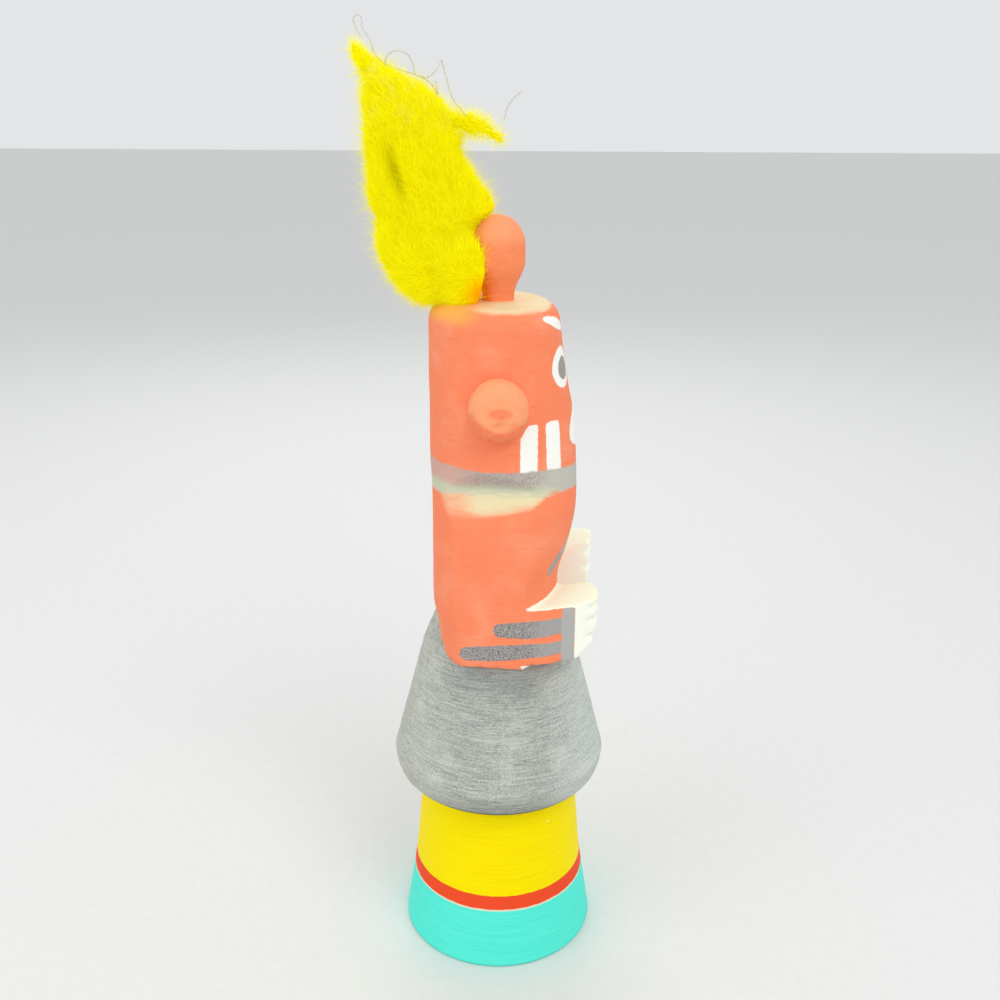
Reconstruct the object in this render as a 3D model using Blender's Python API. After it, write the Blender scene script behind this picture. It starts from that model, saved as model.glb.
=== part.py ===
"""Painted wooden doll with a turned skirt, carved arms and head, three small knobs and a plume.

The wooden body is one piece: it was turned on a lathe as a base column, a bell skirt and a drum,
then carved to arms, hands, neck and head. Three knobs and a tuft of dyed fluff are glued on.

Frame: metres, +Z up. The doll stands on z = 0 with the lathe axis on Z and faces -Y.
Sizes below are in millimetres and are scaled by MM.
"""

import math

import bmesh
import bpy
from mathutils import Matrix, Vector

MM = 0.001
TOUCH_GAP = 0.3
ROUND_STEPS = 56

# Turned base and skirt: radius and height, from the underside's edge up to the skirt's top.
BASE_RADIUS = 22.7
BASE_EDGE = 0.5
COLUMN_RADIUS = 17.8
COLUMN_TOP = 42.2
RING_RADIUS = 20.0
RING_HEIGHT = 18.0
SKIRT_RADIUS = 24.5
SKIRT_WIDEST = 47.6
LIP_HEIGHT = 41.2
LIP_RADIUS = 20.6
LIP_STEPS = 6
SKIRT_UPPER_RADIUS = 19.3
SKIRT_UPPER = 67.5
WAIST_RADIUS = 17.4
WAIST = 74.8
SKIRT_TOP_RADIUS = 13.6
SKIRT_TOP = 84.0

# Carved trunk and head: the plan of each level is a rounded oblong.
TRUNK_BOTTOM = 75.1
TRUNK_BOTTOM_RISE = 0.17
TRUNK_HALF_WIDTH = 17.6
TRUNK_POWER = 2.7
HEAD_HALF_WIDTH = 16.0
HEAD_POWER = 2.15
NECK = 114.5
LEVEL_SPACING = 3.6
HEAD_TOP = 152.6
CROWN_ROUND = 4.2
CROWN_STEPS = 5
# Distance from the axis to the front, by height: belly, chest, chin, face and forehead.
FRONT = ((75.1, 12.6), (88.0, 12.9), (94.0, 13.4), (99.0, 14.6), (104.5, 15.9), (109.0, 16.6),
         (117.5, 16.6), (124.0, 16.1), (129.5, 15.6), (134.0, 14.6), (139.0, 13.8), (143.0, 13.1),
         (152.6, 12.1))
# Distance from the axis to the back, by height.
BACK = ((75.1, 12.8), (81.5, 13.8), (86.0, 14.7), (90.0, 14.85), (112.0, 14.85), (119.0, 15.2))
# Below the first height the front is fully pared away over the hands, and above the second not at all.
PARED = (93.0, 104.0)
PARED_WIDER = 0.09
PARED_POWER = 0.7

# Flats on the outside of the arms, the shoulders and the sides of the neck.
ARM_FLAT_BACK = (15.4, 10.6)
ARM_FLAT_FRONT = (17.6, -6.5)
FLAT_REACH = (20.0, -30.0)
FLAT_OUTSIDE = 34.0
NECK_DEPTH = 14.0
NECK_DEEPEST = 115.4
NECK_CUT_OUT = 8.0
NECK_CUT_HALF_LENGTH = 20.0
SHOULDER_DROP = 0.3
SHOULDER_EDGE = 110.2
JAW_EDGE = 119.0

# Forearms and hands, what is left of the turned drum: the outside of a hand, from the fingertips back.
HAND_PLAN = ((5.0, -20.6), (8.5, -21.2), (11.8, -21.6), (13.4, -21.4), (14.9, -20.4), (16.2, -18.4),
             (17.3, -15.5), (18.2, -8.0))
HAND_GAP_HALF = 5.0
FOREARM_BACK = 4.0
ELBOW_Y = -4.0
FINGERTIP_Y = -21.0
FINGERTIP_REACH = 21.5
# Knife cuts between the fingers: share of the hand's height, and depth at each point of its outside.
FINGER_GAPS = (0.32, 0.63, 0.86)
FINGER_CUT_DEPTHS = (1.4, 1.5, 1.6, 1.6, 1.1, -0.4)
FINGER_CUT_OUT = 2.2
FINGER_CUT_HALF_WIDTH = 1.6
FINGER_CUT_INSIDE = 2.5
# Heights of each forearm at the elbow and at the fingertips: bottom, then top.
RIGHT_FOREARM = ((76.2, 78.4), (89.5, 91.2))
LEFT_FOREARM = ((77.0, 79.8), (92.4, 96.5))

# Knobs
TOPKNOT_PROFILE = ((3.3, 152.9), (3.8, 155.6), (4.8, 157.9), (5.4, 160.0), (5.4, 164.2))
TOPKNOT_Y = 0.6
TOPKNOT_TOP = 169.9
TOPKNOT_STEPS = 6
EAR_CENTRE = (0.4, 133.2)
EAR_RADIUS = 6.1
EAR_HEIGHT = 1.08
EAR_RIM = 1.5
EAR_REACH = 5.6
EAR_TIP_RADIUS = 2.6
EAR_STEPS = 6
KNOB_STEPS = 32

# Plume: height, then the middle and half-width front to back, and the same side to side.
PLUME_LEVELS = ((152.95, 12.2, 6.0, 1.6, 4.4), (155.6, 13.3, 8.9, 2.2, 6.6), (161.0, 14.3, 10.3, 2.8, 8.2),
                (170.0, 14.5, 11.9, 2.4, 9.0), (180.0, 17.4, 10.3, 1.2, 8.5), (190.0, 19.6, 8.8, 0.4, 6.8),
                (195.5, 23.5, 5.2, 0.0, 4.4), (199.5, 27.4, 2.3, 0.0, 2.1), (202.6, 28.6, 0.8, 0.0, 0.8))
PLUME_STEPS = 26
PLUME_RINGS = 22
# Small side tuft: along it, the position front to back, the height and the radius.
TUFT_LEVELS = ((12.0, 188.0, 2.8), (7.0, 187.4, 2.8), (2.8, 186.2, 2.9), (-0.8, 183.8, 1.4))
TUFT_STEPS = 14

PAINTS = {
    "wood_paint": ((0.74, 0.16, 0.09, 1.0), 0.55),
    "topknot_paint": ((0.78, 0.18, 0.10, 1.0), 0.55),
    "right_ear_paint": ((0.76, 0.19, 0.10, 1.0), 0.55),
    "left_ear_paint": ((0.76, 0.20, 0.10, 1.0), 0.55),
    "yellow_fluff": ((0.82, 0.74, 0.02, 1.0), 0.95),
}


def clear_scene():
    """Remove every object that the file opened with."""
    for old in list(bpy.data.objects):
        bpy.data.objects.remove(old, do_unlink=True)


def paint(name):
    """Make the material of one piece."""
    colour, roughness = PAINTS[name]
    material = bpy.data.materials.new(name)
    material.use_nodes = True
    shader = material.node_tree.nodes["Principled BSDF"]
    shader.inputs["Base Color"].default_value = colour
    shader.inputs["Roughness"].default_value = roughness
    shader.inputs["Metallic"].default_value = 0.0
    return material


def blend(table, at):
    """Read a table of (key, values...) rows at a key, smoothly between its rows."""
    last = len(table) - 1
    at = min(max(at, table[0][0]), table[last][0])
    i = max(k for k in range(last) if table[k][0] <= at)
    before, here, there, after = (table[min(max(k, 0), last)] for k in (i - 1, i, i + 1, i + 2))
    span = there[0] - here[0]
    t = (at - here[0]) / span
    values = []
    for k in range(1, len(here)):
        slope_here = (there[k] - before[k]) / (there[0] - before[0]) * span
        slope_there = (after[k] - here[k]) / (after[0] - here[0]) * span
        values.append((2 * t**3 - 3 * t**2 + 1) * here[k] + (t**3 - 2 * t**2 + t) * slope_here
                      + (3 * t**2 - 2 * t**3) * there[k] + (t**3 - t**2) * slope_there)
    return values


def oblong(half_width, back, front, power, pared):
    """Plan of a rounded oblong about the axis, counter-clockwise, with its front corners pared by a share."""
    points = []
    for k in range(ROUND_STEPS):
        turn = 2 * math.pi * k / ROUND_STEPS
        c, s = math.cos(turn), math.sin(turn)
        if s >= 0:
            width, depth, corner = half_width, back, power
        else:
            width, depth, corner = half_width * (1 + PARED_WIDER * pared), front, power - PARED_POWER * pared
        points.append((width * math.copysign(abs(c) ** (2 / corner), c),
                       depth * math.copysign(abs(s) ** (2 / corner), s)))
    return points


def solid_from_rings(name, rings):
    """Join rings of equal length, in millimetres, into one closed solid."""
    mesh = bpy.data.meshes.new(name)
    bm = bmesh.new()
    loops = [[bm.verts.new(Vector(point) * MM) for point in ring] for ring in rings]
    count = len(loops[0])
    for lower, upper in zip(loops, loops[1:]):
        for k in range(count):
            nxt = (k + 1) % count
            bm.faces.new((lower[k], lower[nxt], upper[nxt], upper[k]))
    caps = [bm.faces.new(list(reversed(loops[0]))), bm.faces.new(loops[-1])]
    bmesh.ops.triangulate(bm, faces=caps)
    bmesh.ops.recalc_face_normals(bm, faces=bm.faces)
    bm.to_mesh(mesh)
    bm.free()
    part = bpy.data.objects.new(name, mesh)
    bpy.context.collection.objects.link(part)
    return part


def turned(name, profile, steps):
    """Turn a profile of (radius, height) rows about the Z axis."""
    rings = []
    for radius, height in profile:
        rings.append([(radius * math.cos(2 * math.pi * k / steps),
                       radius * math.sin(2 * math.pi * k / steps), height) for k in range(steps)])
    return solid_from_rings(name, rings)


def combine(target, tool, operation):
    """Join or cut the target with a tool, then drop the tool."""
    modifier = target.modifiers.new("combine", "BOOLEAN")
    modifier.operation = operation
    modifier.solver = "EXACT"
    modifier.object = tool
    bpy.context.view_layer.update()
    evaluated = target.evaluated_get(bpy.context.evaluated_depsgraph_get())
    mesh = bpy.data.meshes.new_from_object(evaluated)
    target.modifiers.remove(modifier)
    old = target.data
    target.data = mesh
    mesh.name = target.name
    bpy.data.meshes.remove(old)
    bpy.data.objects.remove(tool, do_unlink=True)


def base_and_skirt():
    """The lathe's work: a column that spreads to the base, and a bell skirt with a rolled lip."""
    profile = [(BASE_RADIUS - BASE_EDGE, 0.0), (BASE_RADIUS, BASE_EDGE),
               (RING_RADIUS, RING_HEIGHT), (COLUMN_RADIUS, COLUMN_TOP), (LIP_RADIUS - 1.4, LIP_HEIGHT + 0.2)]
    for k in range(LIP_STEPS + 1):
        turn = math.pi / 2 * k / LIP_STEPS
        profile.append((LIP_RADIUS + (SKIRT_RADIUS - LIP_RADIUS) * math.sin(turn),
                        SKIRT_WIDEST - (SKIRT_WIDEST - LIP_HEIGHT) * math.cos(turn)))
    profile += [(SKIRT_UPPER_RADIUS, SKIRT_UPPER), (WAIST_RADIUS, WAIST), (SKIRT_TOP_RADIUS, SKIRT_TOP)]
    return turned("skirt_blank", profile, ROUND_STEPS)


def trunk_levels():
    """Heights of the rings of the trunk, and of the head below its rounded crown."""
    lowest, highest = TRUNK_BOTTOM, HEAD_TOP - CROWN_ROUND
    count = round((highest - lowest) / LEVEL_SPACING)
    return [lowest + (highest - lowest) * k / count for k in range(count + 1)]


def half_width_at(height):
    """Half-width of the trunk, easing into that of the head around the neck."""
    t = min(max((height - SHOULDER_EDGE) / (JAW_EDGE - SHOULDER_EDGE), 0.0), 1.0)
    return TRUNK_HALF_WIDTH + (HEAD_HALF_WIDTH - TRUNK_HALF_WIDTH) * t


def trunk_and_head(name, grow=0.0):
    """The carved trunk and head before their flats are cut, grown outwards by an allowance."""
    rings = []
    for height in trunk_levels():
        power = TRUNK_POWER if height < NECK else HEAD_POWER
        front, back = blend(FRONT, height)[0], blend(BACK, height)[0]
        pared = min(max((PARED[1] - height) / (PARED[1] - PARED[0]), 0.0), 1.0)
        plan = oblong(half_width_at(height) + grow, back + grow, front + grow, power, pared)
        rings.append([(x, y, height) for x, y in plan])
    rings[0] = [(x, y, z + TRUNK_BOTTOM_RISE * max(0.0, ELBOW_Y - y)) for x, y, z in rings[0]]
    for k in range(1, CROWN_STEPS + 1):
        turn = math.pi / 2 * k / CROWN_STEPS
        inset = CROWN_ROUND * (1 - math.cos(turn))
        height = HEAD_TOP - CROWN_ROUND * (1 - math.sin(turn))
        front, back = blend(FRONT, height)[0] + grow - inset, BACK[-1][1] + grow - inset
        plan = oblong(HEAD_HALF_WIDTH + grow - inset, back, front, HEAD_POWER, 0.0)
        rings.append([(x, y, height) for x, y in plan])
    return solid_from_rings(name, rings)


def forearm(side, heights):
    """One forearm and hand: a block of the drum, with its underside cut back and its fingers cut in."""
    (elbow_low, tip_low), (elbow_high, tip_high) = heights
    plan = list(HAND_PLAN) + [(ARM_FLAT_FRONT[0] - 0.6, FOREARM_BACK), (HAND_GAP_HALF, FOREARM_BACK)]

    def level(low_or_high, y):
        """Height on a line from the elbow to the fingertips."""
        elbow, tip = low_or_high
        return elbow + (tip - elbow) * (ELBOW_Y - y) / (ELBOW_Y - FINGERTIP_Y)

    low = [(side * x, y, level((elbow_low, tip_low), y)) for x, y in plan]
    high = [(side * x, y, level((elbow_high, tip_high), y)) for x, y in plan]
    arm = solid_from_rings("forearm", [low, high])
    combine(arm, fingertip_cut(side, tip_low, tip_high), "DIFFERENCE")
    for share in FINGER_GAPS:
        combine(arm, finger_cut(side, tip_low + (tip_high - tip_low) * share), "DIFFERENCE")
    return arm


def fingertip_cut(side, tip_low, tip_high):
    """Block that trims the front of a hand, so that its fingers step back as they go down."""
    outline = ((FINGERTIP_REACH + 0.3, tip_high + 3.0), (FINGERTIP_REACH, tip_high - 4.0),
               (FINGERTIP_REACH - 0.4, tip_low + 5.0), (FINGERTIP_REACH - 1.3, tip_low + 2.6),
               (FINGERTIP_REACH - 5.2, tip_low - 1.2), (FINGERTIP_REACH + 6.0, tip_low - 1.2),
               (FINGERTIP_REACH + 6.0, tip_high + 3.0))
    rings = [[(side * x, -reach, height) for reach, height in outline] for x in (2.0, 24.0)]
    return solid_from_rings("fingertip_cut", rings)


def finger_cut(side, height):
    """Knife cut between two fingers: a thin wedge that follows the fingertips round the hand's corner."""
    plan = [Vector(point) for point in HAND_PLAN[:len(FINGER_CUT_DEPTHS)]]
    rings = []
    for k, depth in enumerate(FINGER_CUT_DEPTHS):
        along = plan[min(k + 1, len(plan) - 1)] - plan[max(k - 1, 0)]
        outward = Vector((along.y, -along.x)).normalized()
        apex, rim = plan[k] - outward * depth, plan[k] + outward * FINGER_CUT_OUT
        rings.append([(side * apex.x, apex.y, height),
                      (side * rim.x, rim.y, height + FINGER_CUT_HALF_WIDTH),
                      (side * rim.x, rim.y, height - FINGER_CUT_HALF_WIDTH)])
    inner = [(x - FINGER_CUT_INSIDE * side, y, z) for x, y, z in rings[0]]
    return solid_from_rings("finger_cut", [inner] + rings)


def arm_flat_cut(side):
    """Slab outside the flat on one arm, from the trunk's lower edge up past the shoulder."""
    (back_x, back_y), (front_x, front_y) = ARM_FLAT_BACK, ARM_FLAT_FRONT
    slope = (front_x - back_x) / (front_y - back_y)

    def flat_x(y):
        """Distance of the flat from the middle plane."""
        return back_x + slope * (y - back_y)

    behind, ahead = FLAT_REACH
    plan = ((flat_x(behind), behind), (flat_x(ahead), ahead), (FLAT_OUTSIDE, ahead), (FLAT_OUTSIDE, behind))
    rings = [[(side * x, y, z) for x, y in plan] for z in (TRUNK_BOTTOM - 0.15, NECK)]
    return solid_from_rings("arm_flat_cut", rings)


def neck_cut(side):
    """Notch between shoulder and jaw on one side of the neck, as deep behind as in front."""
    shoulder_slope = (NECK_DEEPEST - SHOULDER_EDGE) / (TRUNK_HALF_WIDTH - 0.9 - NECK_DEPTH)
    jaw_slope = (JAW_EDGE - NECK_DEEPEST) / (HEAD_HALF_WIDTH - NECK_DEPTH)
    (back_x, back_y), (front_x, front_y) = ARM_FLAT_BACK, ARM_FLAT_FRONT
    lean = (front_x - back_x) / (front_y - back_y)
    outer = NECK_DEPTH + NECK_CUT_OUT
    rings = []
    for y in (-NECK_CUT_HALF_LENGTH, NECK_CUT_HALF_LENGTH):
        section = ((NECK_DEPTH, NECK_DEEPEST),
                   (outer, NECK_DEEPEST - NECK_CUT_OUT * shoulder_slope - SHOULDER_DROP * y),
                   (outer, NECK_DEEPEST + NECK_CUT_OUT * jaw_slope))
        rings.append([(side * (x + lean * y), y, z) for x, z in section])
    return solid_from_rings("neck_cut", rings)


def make_body():
    """The one turned and carved piece of wood."""
    body = trunk_and_head("trunk")
    skirt = base_and_skirt()
    combine(body, forearm(-1, RIGHT_FOREARM), "UNION")
    combine(body, forearm(1, LEFT_FOREARM), "UNION")
    for side in (-1, 1):
        combine(body, arm_flat_cut(side), "DIFFERENCE")
        combine(body, neck_cut(side), "DIFFERENCE")
        combine(skirt, arm_flat_cut(side), "DIFFERENCE")
    combine(body, skirt, "UNION")
    finish(body, "body", "wood_paint", 32)


def topknot_profile():
    """Profile of the topknot: a neck that widens to a short cylinder with a domed end."""
    profile = list(TOPKNOT_PROFILE)
    radius, shoulder = profile[-1]
    for k in range(1, TOPKNOT_STEPS + 1):
        turn = math.pi / 2 * k / (TOPKNOT_STEPS + 1)
        profile.append((radius * math.cos(turn), shoulder + (TOPKNOT_TOP - shoulder) * math.sin(turn)))
    return profile


def topknot_solid(name, profile):
    """Turn the topknot, or the room it takes, on its own axis."""
    knob = turned(name, profile, KNOB_STEPS)
    knob.data.transform(Matrix.Translation(Vector((0.0, TOPKNOT_Y, 0.0)) * MM))
    return knob


def make_topknot():
    """The knob that stands on the crown."""
    finish(topknot_solid("topknot", topknot_profile()), "topknot", "topknot_paint", 40)


def make_ear(name, side, paint_name):
    """One button on the side of the head, shaped to the head's curve behind."""
    profile = [(EAR_RADIUS - 0.5, -4.0), (EAR_RADIUS - 0.5, 0.0)]
    for k in range(EAR_STEPS + 1):
        turn = math.pi / 2 * k / EAR_STEPS
        profile.append((EAR_TIP_RADIUS + (EAR_RADIUS - EAR_TIP_RADIUS) * math.cos(turn),
                        EAR_RIM + (EAR_REACH - EAR_RIM) * math.sin(turn)))
    ear = turned(name, profile, KNOB_STEPS)
    y, z = EAR_CENTRE
    place = (Matrix.Translation(Vector((side * (HEAD_HALF_WIDTH - 0.3), y, z)) * MM)
             @ Matrix.Diagonal((1.0, 1.0, EAR_HEIGHT, 1.0)) @ Matrix.Rotation(side * math.pi / 2, 4, "Y"))
    ear.data.transform(place)
    combine(ear, trunk_and_head("head_allowance", TOUCH_GAP), "DIFFERENCE")
    finish(ear, name, paint_name, 40)


def plume_ring(height, middle, half_depth, shift, half_width):
    """One level of the plume."""
    return [(shift + half_width * math.cos(2 * math.pi * k / PLUME_STEPS),
             middle + half_depth * math.sin(2 * math.pi * k / PLUME_STEPS), height)
            for k in range(PLUME_STEPS)]


def side_tuft():
    """The small tuft that leans forward off the top of the plume."""
    rings = []
    for y, z, radius in TUFT_LEVELS:
        rings.append([(radius * math.cos(2 * math.pi * k / TUFT_STEPS), y,
                       z + radius * math.sin(2 * math.pi * k / TUFT_STEPS)) for k in range(TUFT_STEPS)])
    return solid_from_rings("side_tuft", rings)


def make_plume():
    """The tuft of dyed fluff behind the topknot, as the outline of its dense part."""
    lowest, highest = PLUME_LEVELS[0][0], PLUME_LEVELS[-1][0]
    rings = []
    for k in range(PLUME_RINGS + 1):
        height = lowest + (highest - lowest) * k / PLUME_RINGS
        rings.append(plume_ring(height, *blend(PLUME_LEVELS, height)))
    plume = solid_from_rings("plume", rings)
    combine(plume, side_tuft(), "UNION")
    allowance = [(radius + TOUCH_GAP, height) for radius, height in topknot_profile()]
    allowance.insert(0, (allowance[0][0], allowance[0][1] - 2.0))
    allowance.append((0.4, TOPKNOT_TOP + TOUCH_GAP))
    combine(plume, topknot_solid("knob_allowance", allowance), "DIFFERENCE")
    finish(plume, "plume", "yellow_fluff", 60)


def finish(part, name, paint_name, sharp_degrees):
    """Name, clean, shade and paint a finished piece."""
    bm = bmesh.new()
    bm.from_mesh(part.data)
    bmesh.ops.remove_doubles(bm, verts=bm.verts, dist=0.00001)
    bmesh.ops.dissolve_degenerate(bm, edges=bm.edges, dist=0.00001)
    bmesh.ops.triangulate(bm, faces=bm.faces)
    bm.to_mesh(part.data)
    bm.free()
    part.name = name
    part.data.name = name
    part.data.materials.clear()
    part.data.materials.append(paint(paint_name))
    part.data.shade_smooth()
    part.data.set_sharp_from_angle(angle=math.radians(sharp_degrees))


def main():
    """Build every piece."""
    clear_scene()
    make_body()
    make_topknot()
    make_ear("ear_right", -1, "right_ear_paint")
    make_ear("ear_left", 1, "left_ear_paint")
    make_plume()


if __name__ == "__main__":
    main()
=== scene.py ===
"""Looks of a painted wooden doll: turned base and skirt, carved upper body, knobs and plume.

Sizes are in millimetres unless a name or a docstring says otherwise, and MM turns them to metres.
The doll stands on z = 0, faces -Y, and its right side is at -X.
"""

from __future__ import annotations

import logging
import math
from dataclasses import dataclass
from enum import Enum

import bmesh
import bpy
import numpy as np
from mathutils import Euler, Matrix, Quaternion, Vector, noise

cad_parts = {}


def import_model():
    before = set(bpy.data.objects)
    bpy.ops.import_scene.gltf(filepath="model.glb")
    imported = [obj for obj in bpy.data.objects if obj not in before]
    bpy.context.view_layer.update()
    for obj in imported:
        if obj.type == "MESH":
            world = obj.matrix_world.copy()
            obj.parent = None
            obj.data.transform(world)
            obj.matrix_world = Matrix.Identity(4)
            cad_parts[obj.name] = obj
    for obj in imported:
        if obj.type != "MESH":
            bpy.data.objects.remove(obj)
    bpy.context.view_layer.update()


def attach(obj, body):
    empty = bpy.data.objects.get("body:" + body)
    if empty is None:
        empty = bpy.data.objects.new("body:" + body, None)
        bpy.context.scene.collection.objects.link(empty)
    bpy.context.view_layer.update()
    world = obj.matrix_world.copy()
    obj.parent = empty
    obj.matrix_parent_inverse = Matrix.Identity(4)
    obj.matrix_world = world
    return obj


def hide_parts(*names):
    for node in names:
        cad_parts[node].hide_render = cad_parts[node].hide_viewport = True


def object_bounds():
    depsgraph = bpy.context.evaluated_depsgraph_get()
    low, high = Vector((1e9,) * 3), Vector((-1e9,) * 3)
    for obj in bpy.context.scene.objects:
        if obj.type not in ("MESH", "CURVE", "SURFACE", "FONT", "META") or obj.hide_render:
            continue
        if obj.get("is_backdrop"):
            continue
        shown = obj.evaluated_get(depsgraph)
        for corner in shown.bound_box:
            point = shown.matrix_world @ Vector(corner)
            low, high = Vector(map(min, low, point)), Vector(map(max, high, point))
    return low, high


MM = 0.001
LOG = logging.getLogger("doll")

Table = tuple[tuple[float, ...], ...]
Triple = tuple[float, float, float]
Piece = bpy.types.Object
Mesh = bpy.types.Mesh
Material = bpy.types.Material
Node = bpy.types.Node
Socket = bpy.types.NodeSocket
Tree = bpy.types.NodeTree


# --- Numbers and curves -------------------------------------------------------------------------


def read_table(table: Table, at: float) -> list[float]:
    """Read a table of (key, values...) rows at a key, smoothly between its rows.

    Args:
        table: Rows in rising order of their key.
        at: The key to read at.

    Returns:
        The values at that key.
    """
    last = len(table) - 1
    at = min(max(at, table[0][0]), table[last][0])
    i = max(k for k in range(last) if table[k][0] <= at)
    before, here, there, after = (table[min(max(k, 0), last)] for k in (i - 1, i, i + 1, i + 2))
    span = there[0] - here[0]
    t = (at - here[0]) / span
    values = []
    for k in range(1, len(here)):
        slope_here = (there[k] - before[k]) / (there[0] - before[0]) * span
        slope_there = (after[k] - here[k]) / (after[0] - here[0]) * span
        values.append((2 * t**3 - 3 * t**2 + 1) * here[k] + (t**3 - 2 * t**2 + t) * slope_here
                      + (3 * t**2 - 2 * t**3) * there[k] + (t**3 - t**2) * slope_there)
    return values


def ease(low: float, high: float, value: np.ndarray) -> np.ndarray:
    """Rise smoothly from 0 at low to 1 at high."""
    t = np.clip((value - low) / (high - low), 0.0, 1.0)
    return t * t * (3 - 2 * t)


def stroke_distance(u: np.ndarray, v: np.ndarray, path: Table) -> np.ndarray:
    """Distance to the edge of a brush stroke, negative inside it.

    Args:
        u: First coordinate of each point.
        v: Second coordinate of each point.
        path: Rows of (u, v, half-width) along the stroke.

    Returns:
        One signed distance a point.
    """
    nearest = np.full(u.shape, 1e3)
    for (u0, v0, r0), (u1, v1, r1) in zip(path, path[1:]):
        du, dv = u1 - u0, v1 - v0
        t = np.clip(((u - u0) * du + (v - v0) * dv) / (du * du + dv * dv), 0.0, 1.0)
        edge = np.hypot(u - u0 - t * du, v - v0 - t * dv) - (r0 + (r1 - r0) * t)
        nearest = np.minimum(nearest, edge)
    return nearest


def oval_distance(u: np.ndarray, v: np.ndarray, half_u: float, half_v: float) -> np.ndarray:
    """Distance to an oval's edge about the origin, near enough close to that edge."""
    return (np.sqrt((u / half_u) ** 2 + (v / half_v) ** 2) - 1.0) * min(half_u, half_v)


# --- Meshes -------------------------------------------------------------------------------------


def new_object(name: str, mesh: Mesh) -> Piece:
    """Put a mesh in the scene under a name."""
    part = bpy.data.objects.new(name, mesh)
    bpy.context.scene.collection.objects.link(part)
    return part


def solid_from_rings(name: str, rings: list[list[Triple]]) -> Piece:
    """Join rings of points into one closed solid with a fan at each end.

    Args:
        name: Name of the new object and its mesh.
        rings: Rings of equal length, each a list of (x, y, z) in millimetres.

    Returns:
        The solid.
    """
    mesh = bpy.data.meshes.new(name)
    bm = bmesh.new()
    loops = [[bm.verts.new(Vector(point) * MM) for point in ring] for ring in rings]
    count = len(loops[0])
    for lower, upper in zip(loops, loops[1:]):
        for k in range(count):
            nxt = (k + 1) % count
            bm.faces.new((lower[k], lower[nxt], upper[nxt], upper[k]))
    for loop, flip in ((loops[0], True), (loops[-1], False)):
        middle = bm.verts.new(sum((vert.co for vert in loop), Vector()) / count)
        for k in range(count):
            pair = (loop[k], loop[(k + 1) % count])
            bm.faces.new((*(reversed(pair) if flip else pair), middle))
    bmesh.ops.recalc_face_normals(bm, faces=bm.faces)
    bm.to_mesh(mesh)
    bm.free()
    return new_object(name, mesh)


def turned(name: str, profile: list[tuple[float, float]], steps: int) -> Piece:
    """Turn a profile about the Z axis.

    Args:
        name: Name of the new object.
        profile: Rows of (radius, height) in millimetres.
        steps: How many points go round.

    Returns:
        The turned solid.
    """
    turns = [2 * math.pi * k / steps for k in range(steps)]
    rings = [[(radius * math.cos(t), radius * math.sin(t), height) for t in turns]
             for radius, height in profile]
    return solid_from_rings(name, rings)


def apply_modifiers(part: Piece) -> None:
    """Replace a piece's mesh with what its modifiers make of it, and remove them.

    Args:
        part: The piece.
    """
    bpy.context.view_layer.update()
    evaluated = part.evaluated_get(bpy.context.evaluated_depsgraph_get())
    mesh = bpy.data.meshes.new_from_object(evaluated)
    part.modifiers.clear()
    old = part.data
    part.data = mesh
    mesh.name = part.name
    bpy.data.meshes.remove(old)


def combine(target: Piece, tool: Piece, operation: str) -> None:
    """Join or cut the target with a tool, then drop the tool.

    Args:
        target: The solid that stays.
        tool: The solid that is joined to it or taken from it.
        operation: UNION or DIFFERENCE.
    """
    modifier = target.modifiers.new("combine", "BOOLEAN")
    modifier.operation = operation
    modifier.solver = "EXACT"
    modifier.material_mode = "TRANSFER"
    modifier.object = tool
    apply_modifiers(target)
    bpy.data.objects.remove(tool, do_unlink=True)


def vertex_array(mesh: Mesh, what: str = "vertices", field: str = "co") -> np.ndarray:
    """Read the vertices' places, or another vector field, as rows of x, y and z.

    Args:
        mesh: The mesh to read.
        what: The mesh's collection.
        field: The vector in each of its items.

    Returns:
        One row an item.
    """
    data = getattr(mesh, what)
    values = np.zeros(len(data) * 3, np.float32)
    data.foreach_get(field, values)
    return values.reshape(-1, 3).astype(float)


def set_vertices(mesh: Mesh, places: np.ndarray) -> None:
    """Move every vertex to its row of places, in metres."""
    mesh.vertices.foreach_set("co", places.astype(np.float32).ravel())
    mesh.update()


def store(mesh: Mesh, name: str, values: np.ndarray) -> None:
    """Keep one number, or one vector, a vertex as a named attribute.

    Args:
        mesh: The mesh that keeps it.
        name: The attribute's name.
        values: One number or one row of three a vertex.
    """
    kind, field = ("FLOAT", "value") if values.ndim == 1 else ("FLOAT_VECTOR", "vector")
    attribute = mesh.attributes.new(name, kind, "POINT")
    attribute.data.foreach_set(field, values.astype(np.float32).ravel())


def unevenness(points: np.ndarray, size: float, seed: float) -> np.ndarray:
    """Smooth noise from about -1 to 1 at points in millimetres, with lumps of a given size."""
    offset = Vector((seed, seed * 0.37, -seed))
    return np.array([noise.noise(Vector(p) / size + offset) for p in points])


def ring_noise(height: float, spacing: float, seed: float) -> float:
    """Noise that depends on height alone, as tool marks on turned work do."""
    return noise.noise(Vector((seed, 3.7 * seed, height / spacing)))


# --- Materials ----------------------------------------------------------------------------------


def linear(code: str) -> tuple[float, float, float, float]:
    """Turn an sRGB colour such as "F08050" into a linear colour with full alpha."""
    parts = [int(code[k:k + 2], 16) / 255 for k in (0, 2, 4)]
    red, green, blue = ((c / 12.92) if c <= 0.04045 else ((c + 0.055) / 1.055) ** 2.4
                        for c in parts)
    return red, green, blue, 1.0


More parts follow.
